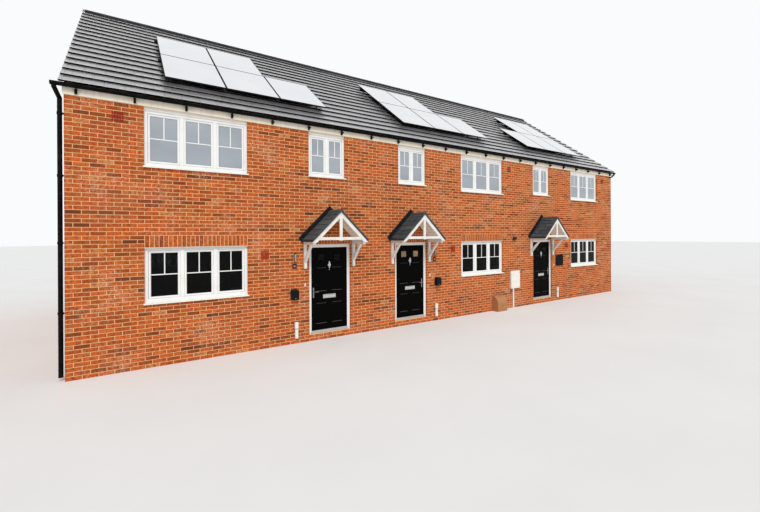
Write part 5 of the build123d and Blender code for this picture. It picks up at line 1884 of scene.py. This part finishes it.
class TERRACE_OT_lanterns(bpy.types.Operator):
    """Make the coach lanterns and the small floodlight"""

    bl_idname = "terrace.lanterns"
    bl_label = "Fit Wall Lights"

    def execute(self, context):
        body, lamp, plates = drafts(3)
        for x in LANTERN_PLACES:
            self.lantern(body, lamp, plates, x)
        x = FLOODLIGHT_PLACE
        level = FLOODLIGHT_LEVEL
        body.plate(x, level, 0.07, 0.1, -0.018, 0, 0.004)
        body.rod((x, -0.016, level + 0.01), (x, -0.052, level + 0.014), 0.011)
        body.block((x - 0.07, -0.088, level - 0.032), (x + 0.07, -0.048, level + 0.06), 0.007)
        rim = ((0.002, 0.002), (0.006, 0.0), (0.002, -0.002))
        body.ring((x - 0.06, level - 0.024), (x + 0.06, level + 0.05), -0.0875, -0.086, rim)
        body.rod((x, -0.05, level - 0.06), (x, -0.05, level - 0.03), 0.018, 0.022)
        finish_all(
            wall_place("front"),
            (body, "lantern_cases", "lantern_black", "lantern_black", "wall_lights"),
            (lamp, "lantern_glasses", "lantern_glass", "clear_glass", "wall_lights"),
            (plates, "lantern_plates", "aged_brass", "lantern_black", "wall_lights"),
        )
        return {"FINISHED"}

    def lantern(self, body, lamp, plates, x):
        """A slim tapered lantern under a pyramid cap, on an arm from a tall wall plate."""
        top = LANTERN_TOP
        foot = LANTERN_FOOT
        plates.plate(x, foot + 0.12, 0.046, 0.19, -0.009, 0, 0.003)
        plates.plate(x, foot + 0.12, 0.032, 0.17, -0.012, -0.007, 0.003)
        body.stud(x, top - 0.013, -0.006, LANTERN_AXIS, 0.007)
        body.rod((x, -0.006, foot + 0.05), (x, LANTERN_AXIS + 0.018, foot + 0.03), 0.005)
        cage, pane = drafts(2)
        for sx in (-1, 1):
            for sy in (-1, 1):
                start = (sx * 0.0135, sy * 0.0135, foot + 0.006)
                cage.rod(start, (sx * 0.0235, sy * 0.0235, top - 0.026), 0.003, segments=6)
        quarter = Matrix.Rotation(math.pi / 4, 4, "Z")
        for draft, radius, low, high, small in (
            (cage, 0.021, foot, foot + 0.01, 0.023),
            (cage, 0.042, top - 0.031, top - 0.025, 0.044),
            (cage, 0.044, top - 0.025, top + 0.001, 0.014),
            (cage, 0.009, top, top + 0.005, 0.004),
            (pane, 0.018, foot + 0.008, top - 0.03, 0.031),
        ):
            place = Matrix.Translation((0, 0, (low + high) / 2)) @ quarter
            bmesh.ops.create_cone(
                draft.bm, cap_ends=True, segments=4, radius1=radius, radius2=small, depth=high - low,
                matrix=place,
            )
        here = Matrix.Translation((x, LANTERN_AXIS, 0))
        body.take(cage, here)
        lamp.take(pane, here)


class TERRACE_OT_wall_boxes(bpy.types.Operator):
    """Finish the post boxes, meter boxes, plaque, door bells and number plates"""

    bl_idname = "terrace.wall_boxes"
    bl_label = "Fit Wall Boxes"

    def execute(self, context):
        coat("box_black", "post_boxes")
        coat("box_white", "meter_boxes")
        coat("box_brown", "ground_meter_box")
        coat("plaque_black", "wall_plaque")
        trims, shine, plates, covers, lids, faces = drafts(6)
        for x in POST_BOX_PLACES:
            trims.block((x - 0.064, -0.1175, 1.152), (x + 0.064, -0.109, 1.188), 0.004)
            trims.block((x - 0.068, -0.122, 1.184), (x + 0.068, -0.108, 1.193), 0.003)
            shine.stud(x, 1.035, -0.113, -0.119, 0.008)
        low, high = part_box("wall_plaque")
        x0 = low.x - LEFT
        x1 = high.x - LEFT
        rim = ((0.0015, 0.0015), (0.008, 0.0), (0.0015, -0.0025))
        trims.ring((x0, low.z), (x1, high.z), -0.0215, -0.019, rim)
        for x in (x0 + 0.03, x1 - 0.03):
            for z in (low.z + 0.03, high.z - 0.03):
                shine.stud(x, z, -0.019, -0.0235, 0.007)
        x0 = METER_BOX_LEFT
        x1 = METER_BOX_RIGHT
        rim = ((0.002, 0.002), (0.012, 0.0), (0.004, -0.003))
        plates.ring((x0 + 0.006, 0.653), (x1 - 0.006, 1.224), -0.0625, -0.058, rim)
        plates.block((x0 + 0.03, -0.0635, 0.677), (x1 - 0.03, -0.058, 1.2), 0.003)
        for z in (0.78, 1.1):
            plates.rod((x0 + 0.008, -0.058, z - 0.03), (x0 + 0.008, -0.058, z + 0.03), 0.006)
        for z in (0.7, 1.17):
            trims.stud(x1 - 0.045, z, -0.061, -0.066, 0.011)
        for x in BELL_PLACES:
            plates.block((x - 0.017, -0.022, 1.28), (x + 0.017, 0, 1.35), 0.005)
            shine.stud(x, 1.317, -0.02, -0.0255, 0.0085)
        for x in LANTERN_PLACES:
            lids.block((x - 0.052, -0.01, 1.7), (x + 0.052, 0, 1.81), 0.004)
            faces.block((x - 0.024, -0.0125, 1.731), (x + 0.024, -0.008, 1.779), 0.0015)
        for x in RISER_PLACES:
            trims.rod((x, RISER_AXIS, 0.345), (x, RISER_AXIS, 0.352), 0.0465, segments=28)
            plates.rod((x, RISER_AXIS, 0.487), (x, RISER_AXIS, 0.493), 0.046, 0.04, segments=28)
            plates.block((x - 0.05, -0.024, 0.22), (x + 0.05, 0.0, 0.24), 0.002)
        low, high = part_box("ground_meter_box")
        x0 = low.x - LEFT
        x1 = high.x - LEFT
        covers.block((x0 - 0.003, -0.2535, 0.238), (x1 + 0.003, -0.02, 0.248), 0.003)
        covers.block((x0 + 0.05, -0.2535, 0.05), (x1 - 0.05, -0.246, 0.215), 0.004)
        trims.stud((x0 + x1) / 2, 0.19, -0.249, -0.257, 0.014)
        finish_all(
            wall_place("front"),
            (trims, "box_trims", "box_black", "box_black"),
            (shine, "box_locks", "satin_metal", "chrome"),
            (plates, "box_plates", "box_white", "box_white"),
            (covers, "meter_lid", "box_brown", "box_brown"),
            (lids, "name_plates", "plate_brown", "box_brown"),
            (faces, "name_plate_faces", "plate_tan", "box_brown"),
        )
        return {"FINISHED"}


class TERRACE_OT_structure(bpy.types.Operator):
    """Give the walls, floors and ceilings of the frame their finishes"""

    bl_idname = "terrace.structure"
    bl_label = "Finish Structure"

    def execute(self, context):
        starts = ("front_wall", "rear_wall", "left_gable_wall", "right_gable_wall")
        outer = [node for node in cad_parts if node.startswith(starts)]
        coat("mortar_and_plaster", *outer, "threshold_walls")
        coat("painted_plaster", "party_walls", "upper_ceilings")
        coat("floor_boards", "ground_floors", "upper_floors")
        return {"FINISHED"}


# Stage

# Size, focal length and principal point of the photograph, in its pixels, and where it was taken
PHOTO_WIDTH = 760
PHOTO_HEIGHT = 512
PHOTO_FOCAL = 400.88
PHOTO_CENTRE = (419.1, 234.13)
CAMERA_PLACE = (LEFT + 0.862, FRONT - 9.019, 2.478)


class TERRACE_OT_stage(bpy.types.Operator):
    """Set the pale floor, the soft lights and the camera"""

    bl_idname = "terrace.stage"
    bl_label = "Set Stage"

    def execute(self, context):
        look = context.scene.terrace_stage
        scene = context.scene
        scene.view_settings.view_transform = "Standard"
        floor = Draft()
        bmesh.ops.create_circle(floor.bm, cap_ends=True, segments=96, radius=look.floor_radius)
        floor.bm.normal_update()
        mesh = bpy.data.meshes.new("stage_floor")
        floor.bm.to_mesh(mesh)
        floor.bm.free()
        sheet = bpy.data.objects.new("stage_floor", mesh)
        scene.collection.objects.link(sheet)
        ground = Finish("stage_floor", 0.9, specular=0.1)
        stops = ((0.3, (0.78, 0.775, 0.765)), (0.7, (0.81, 0.805, 0.795)))
        ground.colour(ground.ramp(ground.noise(0.5), stops))
        mesh.materials.append(ground.material)
        self.world(scene, look)
        sun = bpy.data.lights.new("soft_sun", "SUN")
        sun.energy = look.sun_strength
        sun.angle = math.radians(look.sun_softness)
        sun.color = (1.0, 0.965, 0.92)
        lamp = bpy.data.objects.new("soft_sun", sun)
        lamp.rotation_euler = (math.radians(90.0 - look.sun_height), 0.0, math.radians(look.sun_bearing))
        scene.collection.objects.link(lamp)
        lens = bpy.data.cameras.new("photo_view")
        lens.sensor_fit = "HORIZONTAL"
        lens.sensor_width = 36.0
        lens.lens = PHOTO_FOCAL / PHOTO_WIDTH * lens.sensor_width
        lens.shift_x = (PHOTO_WIDTH / 2 - PHOTO_CENTRE[0]) / PHOTO_WIDTH
        lens.shift_y = (PHOTO_CENTRE[1] - PHOTO_HEIGHT / 2) / PHOTO_WIDTH
        lens.clip_end = 500.0
        camera = bpy.data.objects.new("photo_view", lens)
        camera.location = CAMERA_PLACE
        turns = (90.0 + look.camera_pitch, look.camera_roll, -look.camera_yaw)
        camera.rotation_euler = [math.radians(turn) for turn in turns]
        scene.collection.objects.link(camera)
        scene.camera = camera
        return {"FINISHED"}

    def world(self, scene, look):
        """Even soft light, with a white backdrop for the camera, reflections and clear glass."""
        world = bpy.data.worlds.new("studio")
        scene.world = world
        world.use_nodes = True
        nodes = world.node_tree.nodes
        links = world.node_tree.links
        nodes.clear()
        ray = nodes.new("ShaderNodeLightPath").outputs
        shows = ray["Is Camera Ray"]
        for kind in ("Is Glossy Ray", "Is Transmission Ray"):
            either = nodes.new("ShaderNodeMath")
            either.operation = "MAXIMUM"
            links.new(shows, either.inputs[0])
            links.new(ray[kind], either.inputs[1])
            shows = either.outputs[0]
        soft = nodes.new("ShaderNodeBackground")
        soft.inputs["Color"].default_value = (0.90, 0.95, 1.0, 1.0)
        soft.inputs["Strength"].default_value = look.sky_strength
        shown = nodes.new("ShaderNodeBackground")
        shown.inputs["Color"].default_value = (0.955, 0.965, 0.975, 1.0)
        shown.inputs["Strength"].default_value = 1.0
        mixed = nodes.new("ShaderNodeMixShader")
        links.new(shows, mixed.inputs[0])
        links.new(soft.outputs[0], mixed.inputs[1])
        links.new(shown.outputs[0], mixed.inputs[2])
        out = nodes.new("ShaderNodeOutputWorld")
        links.new(mixed.outputs[0], out.inputs[0])


# Settings


def number_setting(name, description, default, **limits):
    """A plain number that a user may change."""
    return FloatProperty(name=name, description=description, default=default, **limits)


def length_setting(name, description, default, **limits):
    """A length in metres that a user may change."""
    return number_setting(name, description, default, unit="LENGTH", precision=4, **limits)


def count_setting(name, description, default, most):
    """A whole number that a user may change."""
    return IntProperty(name=name, description=description, default=default, min=1, max=most)


def colour_setting(name, description, default):
    """A colour that a user may change."""
    return FloatVectorProperty(
        name=name, description=description, default=default, subtype="COLOR", size=3, min=0.0, max=1.0
    )


class TerraceBrickSettings(bpy.types.PropertyGroup):
    """Sizes and colours of the brickwork."""

    length: length_setting("Brick Length", "Length of a facing brick", 0.215, min=0.1, max=0.4)
    height: length_setting("Brick Height", "Height of a facing brick", 0.065, min=0.03, max=0.15)
    joint: length_setting("Joint", "Thickness of the mortar joints", 0.01, min=0.003, max=0.02)
    proud: length_setting("Brick Face", "How far bricks stand out of the wall", 0.003, min=0.001, max=0.012)
    red: colour_setting("Brick Red", "Main colour of the bricks", (0.52, 0.109, 0.021))
    dark: colour_setting("Brick Dark", "Colour of the darkest bricks", (0.13, 0.032, 0.016))
    pale: colour_setting("Brick Pale", "Colour of the palest bricks", (0.62, 0.23, 0.075))
    purple: colour_setting("Brick Purple", "Colour of the burnt patches", (0.32, 0.09, 0.045))
    mortar: colour_setting("Mortar", "Colour of the mortar", (0.84, 0.53, 0.27))


class TerraceRoofSettings(bpy.types.PropertyGroup):
    """Sizes and colours of the roof covering."""

    tile_width: length_setting("Tile Width", "Cover width of a roof tile", 0.3, min=0.15, max=0.6)
    tile_gap: length_setting("Tile Gap", "Open joint between tiles", 0.002, min=0.001, max=0.01)
    canopy_tile_width: length_setting("Canopy Tile Width", "Width of a canopy tile", 0.165, min=0.08, max=0.3)
    ridge_tile_length: length_setting("Ridge Tile Length", "Length of a ridge tile", 0.45, min=0.2, max=1.0)
    tile: colour_setting("Tile", "Colour of the roof tiles", (0.125, 0.118, 0.124))


class TerraceJoinerySettings(bpy.types.PropertyGroup):
    """Sizes and colours of windows, doors and eaves."""

    glazing_bar: length_setting("Glazing Bar", "Width of the bars on the glass", 0.02, min=0.01, max=0.05)
    white: colour_setting("White", "Colour of the window and door frames", (0.84, 0.84, 0.83))
    board: colour_setting("Eaves Board", "Colour of the board under the gutters", (0.93, 0.84, 0.69))
    # The upper glass colour is a painted reflection of the sky.
    painted_sky_glass: colour_setting("Upper Glass", "Tint of the glass that mirrors the sky", (0.42, 0.46, 0.50))


class TerraceSolarSettings(bpy.types.PropertyGroup):
    """Look of the solar panels."""

    cells_across: count_setting("Cells Across", "Cells along a panel's short side", 6, 12)
    cells_up: count_setting("Cells Up", "Cells along a panel's long side", 18, 36)
    mirror: colour_setting("Panel Mirror", "Colour of the light on the panels", (0.81, 0.81, 0.83))


class TerraceStageSettings(bpy.types.PropertyGroup):
    """Light, floor and camera."""

    floor_radius: length_setting("Floor Radius", "Radius of the pale floor", 120.0, min=20.0, max=500.0)
    sun_strength: number_setting("Sun Strength", "Strength of the soft sun", 2.05, min=0.0, max=10.0)
    sun_softness: number_setting("Sun Softness", "Width of the soft sun in degrees", 30.0, min=0.5, max=90.0)
    sun_bearing: number_setting("Sun Bearing", "Turn of the sun about the vertical in degrees", -14.0)
    sun_height: number_setting("Sun Height", "Height of the sun above level in degrees", 46.0)
    sky_strength: number_setting("Sky Strength", "Strength of the even light", 0.62, min=0.0, max=3.0)
    camera_yaw: number_setting("Camera Yaw", "Turn to the right of straight ahead in degrees", 36.033)
    camera_pitch: number_setting("Camera Pitch", "Tilt above level in degrees", -0.035)
    camera_roll: number_setting("Camera Roll", "Roll in degrees", 0.268)


MAKERS = (
    TERRACE_OT_stage,
    TERRACE_OT_structure,
    TERRACE_OT_brickwork,
    TERRACE_OT_lintels_and_vents,
    TERRACE_OT_roof_tiles,
    TERRACE_OT_ridge_and_verges,
    TERRACE_OT_rainwater,
    TERRACE_OT_windows,
    TERRACE_OT_front_doors,
    TERRACE_OT_rear_doors,
    TERRACE_OT_canopies,
    TERRACE_OT_solar_panels,
    TERRACE_OT_lanterns,
    TERRACE_OT_wall_boxes,
)

SETTINGS = (
    ("terrace_brick", TerraceBrickSettings),
    ("terrace_roof", TerraceRoofSettings),
    ("terrace_joinery", TerraceJoinerySettings),
    ("terrace_solar", TerraceSolarSettings),
    ("terrace_stage", TerraceStageSettings),
)


class TERRACE_PT_panel(bpy.types.Panel):
    """Sidebar panel with the row's makers and their settings"""

    bl_idname = "TERRACE_PT_panel"
    bl_label = "Brick Terrace Row"
    bl_space_type = "VIEW_3D"
    bl_region_type = "UI"
    bl_category = "Terrace"

    def draw(self, context):
        for maker in MAKERS:
            self.layout.operator(maker.bl_idname)
        for holder, group in SETTINGS:
            box = self.layout.box()
            box.label(text=group.__doc__)
            for setting in group.__annotations__:
                box.prop(getattr(context.scene, holder), setting)


def register():
    """Register the settings, the makers and the panel."""
    for holder, group in SETTINGS:
        bpy.utils.register_class(group)
        setattr(bpy.types.Scene, holder, PointerProperty(type=group))
    for maker in MAKERS:
        bpy.utils.register_class(maker)
    bpy.utils.register_class(TERRACE_PT_panel)


def unregister():
    """Take everything back out again."""
    bpy.utils.unregister_class(TERRACE_PT_panel)
    for maker in reversed(MAKERS):
        bpy.utils.unregister_class(maker)
    for holder, group in reversed(SETTINGS):
        delattr(bpy.types.Scene, holder)
        bpy.utils.unregister_class(group)


def main():
    """Register, and make every piece in order."""
    register()
    bpy.ops.terrace.stage()
    bpy.ops.terrace.structure()
    bpy.ops.terrace.brickwork()
    bpy.ops.terrace.lintels_and_vents()
    bpy.ops.terrace.roof_tiles()
    bpy.ops.terrace.ridge_and_verges()
    bpy.ops.terrace.rainwater()
    bpy.ops.terrace.windows()
    bpy.ops.terrace.front_doors()
    bpy.ops.terrace.rear_doors()
    bpy.ops.terrace.canopies()
    bpy.ops.terrace.solar_panels()
    bpy.ops.terrace.lanterns()
    bpy.ops.terrace.wall_boxes()


if __name__ == "__main__":
    main()
